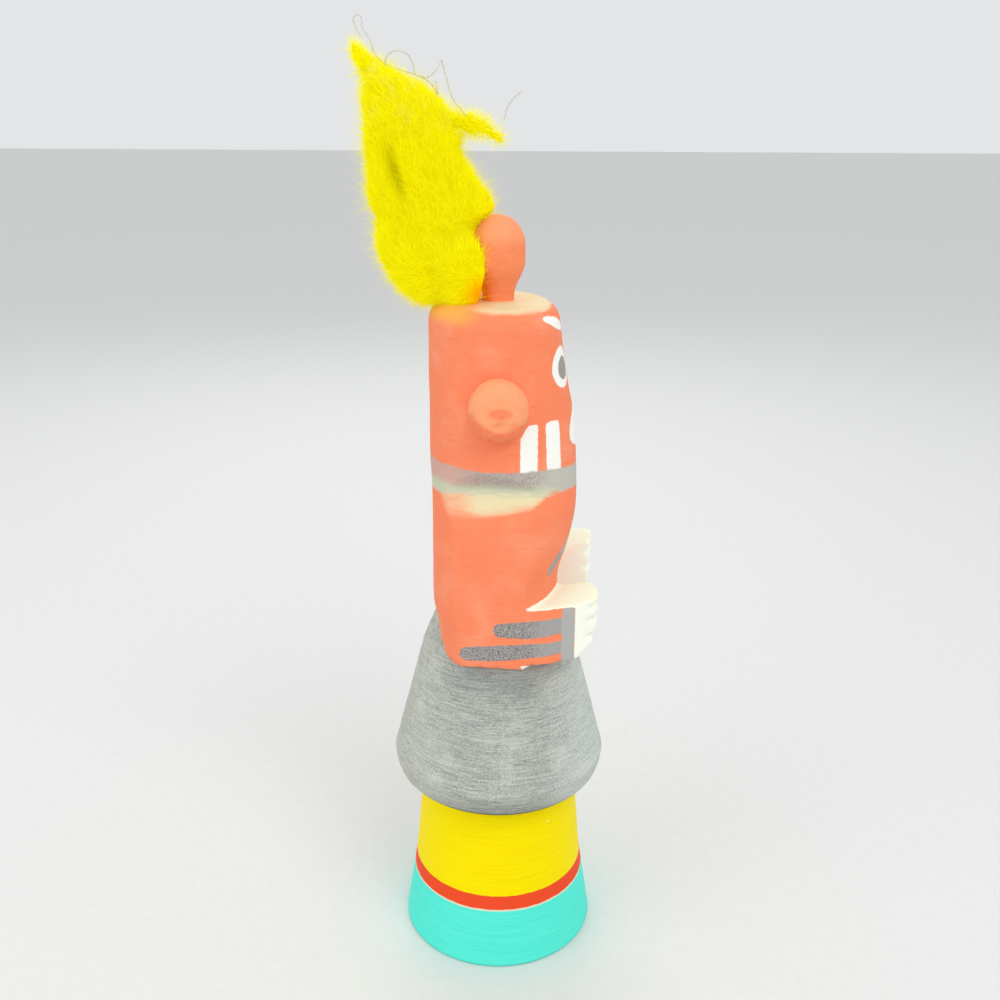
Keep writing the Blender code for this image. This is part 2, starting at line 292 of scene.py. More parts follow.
def add(tree: Tree, kind: str, inputs: dict | None = None, **settings: object) -> Node:
    """Add a node with its settings, and link or set its inputs.

    Args:
        tree: The tree that gets the node.
        kind: Blender's name of the node's type.
        inputs: A value or an output socket for each input, by the input's name or number.
        settings: Properties of the node.

    Returns:
        The new node.
    """
    node = tree.nodes.new(kind)
    for key, value in settings.items():
        setattr(node, key, value)
    for key, value in (inputs or {}).items():
        if isinstance(value, Socket):
            tree.links.new(value, node.inputs[key])
        else:
            node.inputs[key].default_value = value
    return node


def new_finish(name: str, roughness: float, **sockets: float) -> tuple[Material, Tree]:
    """Start a material with its uniform values set on the shader's own sockets.

    Args:
        name: The material's name.
        roughness: Its roughness where nothing is linked to that socket.
        sockets: Other values by socket name, with _ for a space.

    Returns:
        The material and its tree.
    """
    material = bpy.data.materials.new(name)
    material.use_nodes = True
    shader = material.node_tree.nodes["Principled BSDF"]
    shader.inputs["Roughness"].default_value = roughness
    for socket, value in sockets.items():
        shader.inputs[socket.replace("_", " ")].default_value = value
    return material, material.node_tree


def finish_surface(tree: Tree, colour: Socket, height: Socket,
                   depth: float, roughness: Socket | None = None) -> None:
    """Link colour, bump and roughness into the shader.

    Args:
        tree: The material's tree.
        colour: The surface's colour.
        height: The relief, from 0 to 1.
        depth: How deep that relief is, in millimetres.
        roughness: The roughness, where it varies.
    """
    shader = tree.nodes["Principled BSDF"]
    bump = add(tree, "ShaderNodeBump", {"Height": height, "Distance": depth * MM, "Strength": 1.0})
    tree.links.new(colour, shader.inputs["Base Color"])
    tree.links.new(bump.outputs["Normal"], shader.inputs["Normal"])
    if roughness is not None:
        tree.links.new(roughness, shader.inputs["Roughness"])


def millimetres(tree: Tree) -> Socket:
    """The place on the piece in millimetres."""
    place = add(tree, "ShaderNodeTexCoord")
    return add(tree, "ShaderNodeVectorMath", {0: place.outputs["Object"], 3: 1 / MM},
               operation="SCALE").outputs[0]


def grain(tree: Tree, place: Socket, size: Triple,
          detail: float = 3.0, seed: float = 0.0) -> Socket:
    """Noise from 0 to 1 whose marks have a size along X, Y and Z.

    Args:
        tree: The material's tree.
        place: Place on the piece in millimetres.
        size: Size of a mark in millimetres.
        detail: How many finer layers the noise has.
        seed: Shift that makes this noise differ from others.

    Returns:
        The noise.
    """
    mapping = add(tree, "ShaderNodeMapping",
                  {"Vector": place, "Location": (seed, seed * 1.7, seed * 0.6),
                   "Scale": tuple(1 / s for s in size)})
    return add(tree, "ShaderNodeTexNoise", {"Vector": mapping.outputs[0], "Scale": 1.0,
                                            "Detail": detail, "Roughness": 0.6}).outputs["Fac"]


def spread(tree: Tree, value: Socket, low: float, high: float,
           to_low: float = 0.0, to_high: float = 1.0) -> Socket:
    """Carry a value's range low to high smoothly onto another range."""
    return add(tree, "ShaderNodeMapRange", {"Value": value, "From Min": low, "From Max": high,
                                            "To Min": to_low, "To Max": to_high},
               interpolation_type="SMOOTHSTEP").outputs[0]


def layer(tree: Tree, under: Socket | tuple, over: Socket | tuple, cover: Socket | float) -> Socket:
    """Lay one colour over another where cover says so."""
    return add(tree, "ShaderNodeMix", {0: cover, 6: under, 7: over}, data_type="RGBA").outputs[2]


def painted_edge(tree: Tree, attribute: str, wobble: Socket,
                 amount: float, softness: float) -> Socket:
    """Cover of a painted mark from its distance attribute, with an edge that a brush leaves.

    Args:
        tree: The material's tree.
        attribute: Name of the signed distance in millimetres, negative inside the mark.
        wobble: Noise from 0 to 1 that makes the edge wander.
        amount: How far the edge wanders, in millimetres.
        softness: Width over which the paint thins out, in millimetres.

    Returns:
        1 inside the mark and 0 outside.
    """
    shift = add(tree, "ShaderNodeMath", {0: wobble, 1: amount, 2: -amount / 2},
                operation="MULTIPLY_ADD").outputs[0]
    edge = add(tree, "ShaderNodeMath",
               {0: add(tree, "ShaderNodeAttribute", attribute_name=attribute).outputs["Fac"],
                1: shift}, operation="ADD").outputs[0]
    return spread(tree, edge, -softness / 2, softness / 2, 1.0, 0.0)


@dataclass(frozen=True)
class CarvedPaint:
    """Craft acrylic brushed on carved basswood: matt, uneven, with white and charcoal marks."""

    coral: str = "FC8A60"
    coral_deep: str = "F67E56"
    coral_light: str = "FD9C76"
    cream: str = "E9DAAE"
    sage: str = "C9CBB0"
    white: str = "FBFAF2"
    hand_white: str = "FAFCEC"
    ivory_and_highlight: str = "F4FDE2"
    grey: str = "ABA8A6"
    cuff_grey: str = "B5B4B0"
    band_light: str = "BCBFB5"
    # Yellow cast on the crown behind the plume, a painted reflection of the plume.
    plume_tint: str = "F3BE46"
    charcoal: str = "787372"
    charcoal_light: str = "B7B4AE"
    roughness: float = 0.62
    patch_size: Triple = (9.0, 9.0, 9.0)
    stroke_size: Triple = (3.5, 3.5, 0.5)
    pore_size: Triple = (0.3, 0.3, 0.24)
    fleck_size: Triple = (0.42, 0.42, 0.3)
    wander_size: Triple = (1.3, 1.3, 0.9)
    bump_depth: float = 0.05

    def build(self) -> Material:
        """Make the material of the carved and painted upper body."""
        # Acrylic dries to an eggshell sheen over the wood's fine grain, and brush hairs leave soft
        # level streaks in it.
        material, tree = new_finish("acrylic_on_basswood", self.roughness, Specular_IOR_Level=0.15)
        place = millimetres(tree)
        strokes = grain(tree, place, self.stroke_size, seed=11.0)
        fine = grain(tree, place, self.pore_size, seed=5.0)
        wander = grain(tree, place, self.wander_size, seed=23.0)
        depth = add(tree, "ShaderNodeSeparateXYZ", {0: place}).outputs["Y"]
        coral = self.coral_coat(tree, place, strokes)
        colour = self.worn_and_top_lit(tree, place, coral, strokes, fine)
        white_cover = painted_edge(tree, "white_marks", wander, 0.5, 0.3)
        colour = layer(tree, colour, self.whites(tree, strokes), white_cover)
        band_edge = painted_edge(tree, "neck_band", strokes, 1.1, 0.5)
        colour = layer(tree, colour, self.neck_wash(tree, place, coral, strokes), band_edge)
        dark_cover = painted_edge(tree, "dark_marks", wander, 0.55, 0.3)
        colour = layer(tree, colour, self.darks(tree, fine, depth), dark_cover)
        pupil = layer(tree, linear(self.charcoal), linear(self.charcoal_light), 0.55)
        colour = layer(tree, colour, pupil, painted_edge(tree, "pupils", wander, 0.35, 0.3))
        coats = add(tree, "ShaderNodeMath", {0: white_cover, 1: dark_cover},
                    operation="MAXIMUM").outputs[0]
        relief = add(tree, "ShaderNodeMath", {0: strokes, 1: 0.8, 2: coats},
                     operation="MULTIPLY_ADD").outputs[0]
        relief = add(tree, "ShaderNodeMath", {0: fine, 1: 0.5, 2: relief},
                     operation="MULTIPLY_ADD").outputs[0]
        finish_surface(tree, colour, relief, self.bump_depth,
                       spread(tree, fine, 0.3, 0.7, 0.55, 0.72))
        return material

    def coral_coat(self, tree: Tree, place: Socket, strokes: Socket) -> Socket:
        """The coral coat: lighter in broad patches, deeper along the brush strokes."""
        patches = spread(tree, grain(tree, place, self.patch_size, 2.0), 0.42, 0.75, 0.0, 0.75)
        coral = layer(tree, linear(self.coral), linear(self.coral_light), patches)
        return layer(tree, coral, linear(self.coral_deep),
                     spread(tree, strokes, 0.45, 0.8, 0.0, 0.6))

    def worn_and_top_lit(self, tree: Tree, place: Socket, coral: Socket, strokes: Socket,
             fine: Socket) -> Socket:
        """The coral coat, cream where primer shows through and where a painted highlight lies on
        faces turned up, and with a painted reflection of the yellow plume on the crown behind it.

        Args:
            tree: The material's tree.
            place: Place on the piece in millimetres.
            coral: Colour of the sound coat.
            strokes: Noise along the brush strokes.
            fine: Noise of the wood's pores.

        Returns:
            The colour.
        """
        # Cream where the coral is rubbed through to primer, and cream as a painted highlight on
        # faces turned up to the light.
        worn_and_lit = add(tree, "ShaderNodeAttribute", attribute_name="wear_and_highlight").outputs["Fac"]
        for pattern in (strokes, fine):
            worn_and_lit = add(tree, "ShaderNodeMath", {0: pattern, 1: 0.45, 2: worn_and_lit},
                         operation="MULTIPLY_ADD").outputs[0]
        colour = layer(tree, coral, linear(self.cream), spread(tree, worn_and_lit, 0.66, 1.38))
        parts = add(tree, "ShaderNodeSeparateXYZ", {0: place}).outputs
        # Painted reflection of the yellow plume on the crown just behind it.
        painted_plume_reflection = add(tree, "ShaderNodeMath", {0: spread(tree, parts["Z"], 148.5, 151.5, 0.0, 0.6),
                                               1: spread(tree, parts["Y"], 3.0, 9.0)},
                      operation="MULTIPLY").outputs[0]
        return layer(tree, colour, linear(self.plume_tint), painted_plume_reflection)

    def whites(self, tree: Tree, strokes: Socket) -> Socket:
        """White paint: plain on the face and warmer on the hands, with ivory streaks and an ivory
        tint on faces turned up, which is painted light from above.
        """
        white = layer(tree, linear(self.white), linear(self.hand_white),
                      add(tree, "ShaderNodeAttribute", attribute_name="hands").outputs["Fac"])
        # Ivory tint on the hands' upward faces: painted light from above.
        white = layer(tree, white, linear(self.ivory_and_highlight),
                      add(tree, "ShaderNodeAttribute", attribute_name="ivory_and_highlight").outputs["Fac"])
        return layer(tree, white, linear(self.ivory_and_highlight), spread(tree, strokes, 0.55, 0.8, 0.0, 0.35))

    def neck_wash(self, tree: Tree, place: Socket, coral: Socket, strokes: Socket) -> Socket:
        """The neck band, a thin charcoal wash that goes over sage into the bare primer.

        Args:
            tree: The material's tree.
            place: Place on the piece in millimetres.
            coral: Colour of the coat that shows through at the back.
            strokes: Noise along the brush strokes.

        Returns:
            The colour.
        """
        depth = add(tree, "ShaderNodeSeparateXYZ", {0: place}).outputs["Y"]
        grey = layer(tree, linear(self.charcoal_light), linear(self.band_light),
                     spread(tree, depth, -5.0, -12.0))
        grey = layer(tree, grey, coral, spread(tree, depth, 0.0, 10.0, 0.06, 0.32))
        middle = add(tree, "ShaderNodeMath", {0: spread(tree, depth, -12.0, -6.0),
                                              1: spread(tree, depth, 11.0, 4.0)},
                     operation="MULTIPLY").outputs[0]
        mottle = spread(tree, grain(tree, place, self.fleck_size, seed=37.0), 0.42, 0.72, 0.0, 0.7)
        grey = layer(tree, grey, linear(self.charcoal),
                     add(tree, "ShaderNodeMath", {0: mottle, 1: middle},
                         operation="MULTIPLY").outputs[0])
        return layer(tree, linear(self.sage), grey,
                     painted_edge(tree, "neck_core", strokes, 1.2, 2.2))

    def darks(self, tree: Tree, fine: Socket, depth: Socket) -> Socket:
        """Charcoal paint: grainy on the arm, smoother and paler in front and on the cuff."""
        dark = layer(tree, linear(self.charcoal), linear(self.charcoal_light),
                     spread(tree, fine, 0.40, 0.64))
        dark = layer(tree, dark, linear(self.grey), spread(tree, depth, -5.0, -11.0, 0.0, 0.75))
        return layer(tree, dark, linear(self.cuff_grey),
                     spread(tree, depth, -13.0, -13.5, 0.0, 0.75))


@dataclass(frozen=True)
class TurnedPaint:
    """Acrylic bands laid on while the work spins, and a dry-brushed charcoal skirt."""

    turquoise: str = "5DF0DC"
    turquoise_deep: str = "4EE5D0"
    bare: str = "E4E2C4"
    red: str = "F2502C"
    yellow: str = "FFE800"
    yellow_deep: str = "F9DC00"
    skirt_wood: str = "D0D2C5"
    skirt_painted_sheen: str = "D9E1DC"
    skirt_mid: str = "9DA19C"
    skirt_dark: str = "5F6363"
    hem: str = "4C4F4D"
    bare_from: float = 14.2
    red_from: float = 14.6
    yellow_from: float = 18.0
    skirt_from: float = 41.25
    bare_grain: str = "ECECE2"
    ring_size: Triple = (14.0, 14.0, 0.45)
    pore_size: Triple = (0.3, 0.3, 0.3)
    wander_size: Triple = (2.2, 2.2, 1.6)
    long_streak: Triple = (9.0, 9.0, 0.34)
    short_streak: Triple = (2.2, 2.2, 0.24)
    skirt_patch: Triple = (7.0, 7.0, 5.0)
    edge_wander: float = 0.35
    bump_depth: float = 0.05
    glint_white: str = "F8F4E0"
    glint_spots: Table = ((-13.3, -11.8, 38.7), (-14.2, -11.2, 34.7))
    roughness: float = 0.5

    def build(self) -> Material:
        """Make the material of the turned lower body."""
        # The bands are level and glossy enough to show faint turning lines; the skirt is chalky.
        material, tree = new_finish("acrylic_bands_on_turned_wood", self.roughness,
                                    Specular_IOR_Level=0.04)
        place = millimetres(tree)
        height = add(tree, "ShaderNodeSeparateXYZ", {0: place}).outputs["Z"]
        rings = grain(tree, place, self.ring_size, seed=3.0)
        fine = grain(tree, place, self.pore_size, 2.0, 1.0)
        wander = grain(tree, place, self.wander_size, 2.0, 8.0)
        level = add(tree, "ShaderNodeMath", {0: wander, 1: self.edge_wander, 2: height},
                    operation="MULTIPLY_ADD").outputs[0]
        level = add(tree, "ShaderNodeMath", {0: level, 1: self.edge_wander / 2},
                    operation="SUBTRACT").outputs[0]
        streaks = spread(tree, rings, 0.4, 0.75, 0.0, 0.7)
        colour = layer(tree, linear(self.turquoise), linear(self.turquoise_deep), streaks)
        yellow = layer(tree, linear(self.yellow), linear(self.yellow_deep), streaks)
        for start, coat, soft in ((self.bare_from, linear(self.bare), 0.25),
                                  (self.red_from, linear(self.red), 0.2),
                                  (self.yellow_from, yellow, 0.25)):
            colour = layer(tree, colour, coat, spread(tree, level, start - soft / 2,
                                                      start + soft / 2))
        # Two painted glints on the yellow column.
        for glint_spot in self.glint_spots:
            away = add(tree, "ShaderNodeVectorMath", {0: place, 1: glint_spot},
                       operation="DISTANCE").outputs["Value"]
            colour = layer(tree, colour, linear(self.glint_white), spread(tree, away, 0.5, 0.35))
        skirt = self.dry_brushed(tree, place, fine, height)
        above = (self.skirt_from - 0.1, self.skirt_from + 0.1)
        colour = layer(tree, colour, skirt, spread(tree, height, *above))
        relief = add(tree, "ShaderNodeMath", {0: fine, 1: 0.4, 2: rings},
                     operation="MULTIPLY_ADD").outputs[0]
        finish_surface(tree, colour, relief, self.bump_depth,
                       spread(tree, height, *above, 0.45, 0.8))
        return material

    def dry_brushed(self, tree: Tree, place: Socket, fine: Socket, height: Socket) -> Socket:
        """Charcoal dragged over turned wood with an almost dry brush, with painted sheen at the
        front and back and painted shade in the middle.

        Args:
            tree: The material's tree.
            place: Place on the piece in millimetres.
            fine: Fine noise from 0 to 1.
            height: Height in millimetres.

        Returns:
            The colour.
        """
        wood, light, mid, dark = (linear(code) for code in (self.skirt_wood, self.skirt_painted_sheen,
                                                            self.skirt_mid, self.skirt_dark))
        long_streaks = grain(tree, place, self.long_streak, 4.0, 17.0)
        short_streaks = grain(tree, place, self.short_streak, 4.0, 29.0)
        patches = grain(tree, place, self.skirt_patch, 2.0, 41.0)
        depth = add(tree, "ShaderNodeSeparateXYZ", {0: place}).outputs["Y"]
        away = add(tree, "ShaderNodeMath", {0: depth}, operation="ABSOLUTE").outputs[0]
        # Painted shade in the middle under the arms, with heavier paint there.
        painted_shade_under_arms = add(tree, "ShaderNodeMath", {0: spread(tree, height, 64.0, 75.0, 0.0, 0.42),
                                              1: spread(tree, away, 15.0, 5.0)},
                     operation="MULTIPLY").outputs[0]
        # Painted shade low in the middle of the skirt.
        low = add(tree, "ShaderNodeMath", {0: spread(tree, height, 49.0, 43.5, 0.0, 0.3),
                                           1: spread(tree, away, 16.0, 6.0)},
                  operation="MULTIPLY").outputs[0]
        colour = mid
        for coat, cover in ((wood, spread(tree, long_streaks, 0.36, 0.68, 0.1, 0.72)),
                            (dark, spread(tree, short_streaks, 0.46, 0.70, 0.0, 0.5)),
                            (wood, spread(tree, patches, 0.45, 0.75, 0.0, 0.5)),
                            # Lighter towards the front: partly paint, partly painted sheen.
                            (light, spread(tree, depth, -7.0, -21.0, 0.0, 0.5)),
                            # Creamier towards the back: partly paint, partly painted sheen.
                            (wood, spread(tree, depth, 8.0, 20.0, 0.0, 0.35)),
                            (dark, spread(tree, fine, 0.54, 0.72, 0.0, 0.6)),
                            (linear(self.bare_grain), spread(tree, fine, 0.44, 0.30, 0.0, 0.5)),
                            (dark, painted_shade_under_arms), (dark, low),
                            (linear(self.hem), spread(tree, height, 42.9, 42.3, 0.0, 0.95))):
            colour = layer(tree, colour, coat, cover)
        return colour


@dataclass(frozen=True)
class KnobPaint:
    """Coral acrylic on small turned knobs, lighter on top from primer showing through and from a
    painted highlight.
    """

    name: str
    coral: str = "FB9062"
    coral_deep: str = "F78758"
    worn_and_lit: str = "FCAE7C"
    plume_tint: str = "F98A10"
    wear_and_light_low: float = 0.35
    wear_and_light_high: float = 0.95
    roughness: float = 0.6
    stroke_size: Triple = (2.0, 2.0, 0.8)
    pore_size: Triple = (0.3, 0.3, 0.3)
    bump_depth: float = 0.06

    def build(self) -> Material:
        """Make the material of one knob."""
        # Thin acrylic on end grain dries patchy. The top is lighter, partly primer showing through
        # and partly a painted highlight from the light above, and the underside keeps the deeper
        # coat.
        material, tree = new_finish(self.name, self.roughness, Specular_IOR_Level=0.15)
        place = millimetres(tree)
        strokes = grain(tree, place, self.stroke_size, seed=9.0)
        fine = grain(tree, place, self.pore_size, 2.0, 2.0)
        colour = layer(tree, linear(self.coral), linear(self.coral_deep),
                       spread(tree, strokes, 0.4, 0.75))
        wear_and_light = add(tree, "ShaderNodeMath", {0: fine, 1: 0.35,
                                           2: add(tree, "ShaderNodeAttribute",
                                                  attribute_name="wear_and_highlight").outputs["Fac"]},
                  operation="MULTIPLY_ADD").outputs[0]
        # Lighter where worn and where a painted highlight lies.
        colour = layer(tree, colour, linear(self.worn_and_lit),
                       spread(tree, wear_and_light, self.wear_and_light_low, self.wear_and_light_high))
        colour = layer(tree, colour, linear(self.plume_tint),
                       add(tree, "ShaderNodeAttribute", attribute_name="plume_tint").outputs["Fac"])
        finish_surface(tree, colour, add(tree, "ShaderNodeMath", {0: fine, 1: 0.5, 2: strokes},
                                         operation="MULTIPLY_ADD").outputs[0], self.bump_depth)
        return material


@dataclass(frozen=True)
class DyedFluff:
    """Dyed marabou down: matt, strongly coloured, paler towards the tips of its barbs."""

    name: str
    root: str = "EADD00"
    body: str = "FBF600"
    tip: str = "FBF740"
    shaded_hollow: str = "B8AC00"
    stain: str = "FA8A00"
    thin: str = "F3ED6C"
    roughness: float = 0.9
    painted_glow: float = 0.12
    clump_size: Triple = (2.0, 2.0, 5.0)
    thin_size: Triple = (3.0, 3.0, 4.0)
    thin_heights: tuple[float, float] = (184.0, 192.0)
    lock_size: Triple = (0.5, 0.5, 1.2)
    bump_depth: float = 0.1

    def build(self) -> Material:
        """Make the material of the down."""
        # Down scatters light between its barbs and has no highlight; its faint emission in the body
        # colour is painted glow that stands in for that scattered light.
        material, tree = new_finish(self.name, self.roughness, Specular_IOR_Level=0.0,
                                    Emission_Strength=self.painted_glow)
        tree.nodes["Principled BSDF"].inputs["Emission Color"].default_value = linear(self.body)
        place = millimetres(tree)
        height = add(tree, "ShaderNodeSeparateXYZ", {0: place}).outputs["Z"]
        along = add(tree, "ShaderNodeAttribute", attribute_name="along").outputs["Fac"]
        clumps = spread(tree, grain(tree, place, self.clump_size, seed=15.0), 0.48, 0.72, 0.0, 0.55)
        wisps = spread(tree, grain(tree, place, self.thin_size, 2.0, 6.0), 0.5, 0.66)
        thin = add(tree, "ShaderNodeMath",
                   {0: wisps, 1: spread(tree, height, *self.thin_heights, 0.0, 0.7)},
                   operation="MULTIPLY").outputs[0]
        colour = linear(self.root)
        for coat, cover in ((self.body, spread(tree, along, 0.0, 0.35)),
                            (self.tip, spread(tree, along, 0.45, 1.0, 0.0, 0.6)),
                            (self.root,
                             spread(tree, add(tree, "ShaderNodeAttribute",
                                              attribute_name="tone").outputs["Fac"], 0.55, 1.0, 0.0,
                                    0.4)), (self.root, clumps), (self.thin, thin),
                            # Darker colour in the dented hollow: painted shade.
                            (self.shaded_hollow, add(tree, "ShaderNodeAttribute",
                                              attribute_name="shaded_hollow").outputs["Fac"]),
                            (self.stain, add(tree, "ShaderNodeAttribute",
                                             attribute_name="stain").outputs["Fac"])):
            colour = layer(tree, colour, linear(coat), cover)
        finish_surface(tree, colour, grain(tree, place, self.lock_size, 2.0), self.bump_depth)
        return material


@dataclass(frozen=True)
class PlainFinish:
    """A finish with one colour and a fine grain: thread, dried glue, studio floor."""

    name: str
    colour: str
    second: str
    grain_size: float
    roughness: float
    depth: float = 0.02

    def build(self) -> Material:
        """Make the material."""
        material, tree = new_finish(self.name, self.roughness)
        texture = grain(tree, millimetres(tree), (self.grain_size,) * 3, 2.0)
        colour = layer(tree, linear(self.colour), linear(self.second),
                       spread(tree, texture, 0.35, 0.7))
        finish_surface(tree, colour, texture, self.depth)
        return material


# --- The wooden body ----------------------------------------------------------------------------


@dataclass
class WoodenBody:
    """The one turned and carved piece of wood."""

    base_radius: float = 22.7
    base_edge: float = 0.7
    ring_radius: float = 20.0
    ring_height: float = 18.0
    column_radius: float = 17.8
    column_top: float = 42.2
    lip_radius: float = 20.6
    lip_height: float = 41.2
    skirt_radius: float = 24.5
    skirt_widest: float = 47.6
    skirt_upper: Table = ((67.5, 19.3), (74.8, 17.4), (84.0, 13.6))
    lip_roll: Table = ((1.4, 0.25), (0.3, -0.05))
    bell_steps: int = 12
    turned_steps: int = 144
    ring_spacing: float = 0.42
    hidden_from: float = 74.4
    hidden_inset: float = 0.5
    trunk_bottom: float = 75.1
    trunk_half_width: float = 17.6
    trunk_power: float = 2.7
    head_half_width: float = 16.0
    head_power: float = 2.15
    back: Table = ((75.1, 13.2), (76.0, 13.6), (81.5, 13.8), (86.0, 14.7), (90.0, 14.85),
                   (112.0, 14.85), (119.0, 15.2))
    head_top: float = 152.6
    crown_round: float = 4.2
    crown_steps: int = 12
    level_spacing: float = 0.8
    bottom_rise: float = 0.17
    shoulder_edge: float = 110.2
    jaw_edge: float = 119.0
    neck_depth: float = 14.0
    neck_deepest: float = 115.4
    front: Table = ((75.1, 12.6), (88.0, 12.9), (94.0, 13.4), (99.0, 14.6), (104.5, 15.9),
                    (109.0, 16.6), (117.5, 16.6), (124.0, 16.1), (129.5, 15.6), (134.0, 14.6),
                    (139.0, 13.8), (143.0, 13.1), (152.6, 12.1))
    arm_flat: Table = ((15.4, 10.6), (17.6, -6.5))
    shoulder_drop: float = 0.3
    hand_gap_half: float = 5.0
    elbow_y: float = -4.0
    fingertip_y: float = -21.0
    right_forearm: Table = ((76.2, 78.4), (89.5, 91.2))
    left_forearm: Table = ((77.0, 79.8), (92.4, 96.5))
    hand_plan: Table = ((5.0, -20.6), (8.5, -21.2), (11.8, -21.6), (13.4, -21.4), (14.9, -20.4),
                        (16.2, -18.4), (17.3, -15.5), (18.2, -8.0))
    finger_gaps: Triple = (0.32, 0.63, 0.86)
    gap_depths: tuple[float, ...] = (2.0, 2.4, 2.7, 2.7, 2.0, 0.6, -0.6)
    gap_rim: float = 2.2
    gap_half: float = 1.75
    reach: float = 21.5
    tip_above: Table = ((0.3, 3.0), (0.0, -4.0))
    tip_below: Table = ((-0.4, 5.0), (-1.3, 2.6), (-5.2, -1.2), (6.0, -1.2))
    arm_root_y: float = 4.0
    arm_root_inset: float = 0.6
    neck_out: float = 8.0
    voxel: float = 0.48
    lump_sizes: tuple[float, float] = (7.0, 2.0)
    lump_depths: tuple[float, float] = (0.10, 0.035)
    tool_marks: tuple[float, float] = (0.11, 0.05)
    column_marks: float = 0.012
    pared: tuple[float, float] = (104.0, 93.0)
    pared_width: float = 0.09
    pared_power: float = 0.7
    plan_steps: int = 240

    def build(self) -> Piece:
        """Make the finished body."""
        carved = self.trunk_and_head()
        combine(carved, self.forearm(-1, self.right_forearm), "UNION")
        combine(carved, self.forearm(1, self.left_forearm), "UNION")
        for side in (-1, 1):
            combine(carved, self.arm_flat_cut(side), "DIFFERENCE")
            combine(carved, self.neck_cut(side), "DIFFERENCE")
        self.soften(carved)
        body = self.turned_part()
        body.data.materials.append(TurnedPaint().build())
        carved.data.materials.clear()
        carved.data.materials.append(CarvedPaint().build())
        combine(body, carved, "UNION")
        body.name = "painted_body"
        body.data.name = "painted_body"
        PaintMarks().mark_out(body.data)
        body.data.shade_smooth()
        body.data.set_sharp_from_angle(angle=math.radians(38))
        return body

    def turned_part(self) -> Piece:
        """The lathe's work: a column that spreads to the base, and a bell skirt with a lip."""
        corners = [(self.base_radius - self.base_edge, 0.0)]
        corners += [(self.base_radius - self.base_edge * (1 - math.sin(t)),
                     self.base_edge * (1 - math.cos(t))) for t in (0.5, 1.05, math.pi / 2)]
        corners += [(self.ring_radius, self.ring_height), (self.column_radius, self.column_top)]
        corners += [(self.lip_radius - inset, self.lip_height + lift)
                    for inset, lift in self.lip_roll]
        flare, drop = self.skirt_radius - self.lip_radius, self.skirt_widest - self.lip_height
        for k in range(self.bell_steps + 1):
            turn = math.pi / 2 * k / self.bell_steps
            corners.append((self.lip_radius + flare * math.sin(turn),
                            self.skirt_widest - drop * math.cos(turn)))
        corners += [(radius, height) for height, radius in self.skirt_upper]
        profile = [corners[0]]
        for start, end in zip(corners, corners[1:]):
            length = math.hypot(end[0] - start[0], end[1] - start[1])
            parts = max(1, round(length / self.ring_spacing))
            for k in range(1, parts + 1):
                t = k / parts
                profile.append((start[0] + (end[0] - start[0]) * t,
                                start[1] + (end[1] - start[1]) * t))
        body = turned("turned_part", profile, self.turned_steps)
        places = self.tool_marked(vertex_array(body.data) / MM)
        (back_x, back_y), (front_x, front_y) = self.arm_flat
        slope = (front_x - back_x) / (front_y - back_y)
        flat = back_x + slope * (places[:, 1] - back_y) - self.hidden_inset
        within = np.minimum(np.abs(places[:, 0]), flat)
        hidden = ease(self.hidden_from, self.hidden_from + 0.6, places[:, 2])
        places[:, 0] = np.sign(places[:, 0]) * (np.abs(places[:, 0]) * (1 - hidden)
                                                + within * hidden)
        set_vertices(body.data, places * MM)
        return body

    def tool_marked(self, places: np.ndarray) -> np.ndarray:
        """Move a turned surface in and out as the lathe's tool leaves it, mostly on the skirt.

        Args:
            places: Points on the turned surface, in millimetres.

        Returns:
            The moved points.
        """
        radius = np.hypot(places[:, 0], places[:, 1])
        skirt = ease(41.0, 43.5, places[:, 2]) * (places[:, 2] < 83.0)
        wave = np.array([ring_noise(z, 1.15, 2.0) + 0.55 * ring_noise(z, 0.55, 7.0)
                         for z in places[:, 2]])
        ragged = unevenness(places * np.array((0.25, 0.25, 2.4)), 2.2, 4.0)
        ring_mark, ragged_mark = self.tool_marks
        shift = skirt * (ring_mark * wave + ragged_mark * ragged)
        shift += (1 - skirt) * self.column_marks * wave * (places[:, 2] > 1.0) * (radius > 10)
        scale = 1 + np.where(radius > 5, shift / np.maximum(radius, 1), 0.0)
        places[:, 0] *= scale
        places[:, 1] *= scale
        return places

    def plan(self, half_width: float, back: float, front: float, power: float, z: float) -> list:
        """One level of the trunk or head: a rounded oblong, pared away over the hands.

        Args:
            half_width: Half of its width, across X.
            back: How far it goes behind the axis.
            front: How far it goes in front of the axis.
            power: 2 for an ellipse, and more for squarer corners.
            z: Its height.

        Returns:
            Points (x, y, z), counter-clockwise from above.
        """
        pared = float(ease(*self.pared, z))
        points = []
        for k in range(self.plan_steps):
            turn = 2 * math.pi * k / self.plan_steps
            c, s = math.cos(turn), math.sin(turn)
            if s >= 0:
                depth, width, corner = back, half_width, power
            else:
                depth, width = front, half_width * (1 + self.pared_width * pared)
                corner = power - self.pared_power * pared
            points.append((width * math.copysign(abs(c) ** (2 / corner), c),
                           depth * math.copysign(abs(s) ** (2 / corner), s), z))
        return points

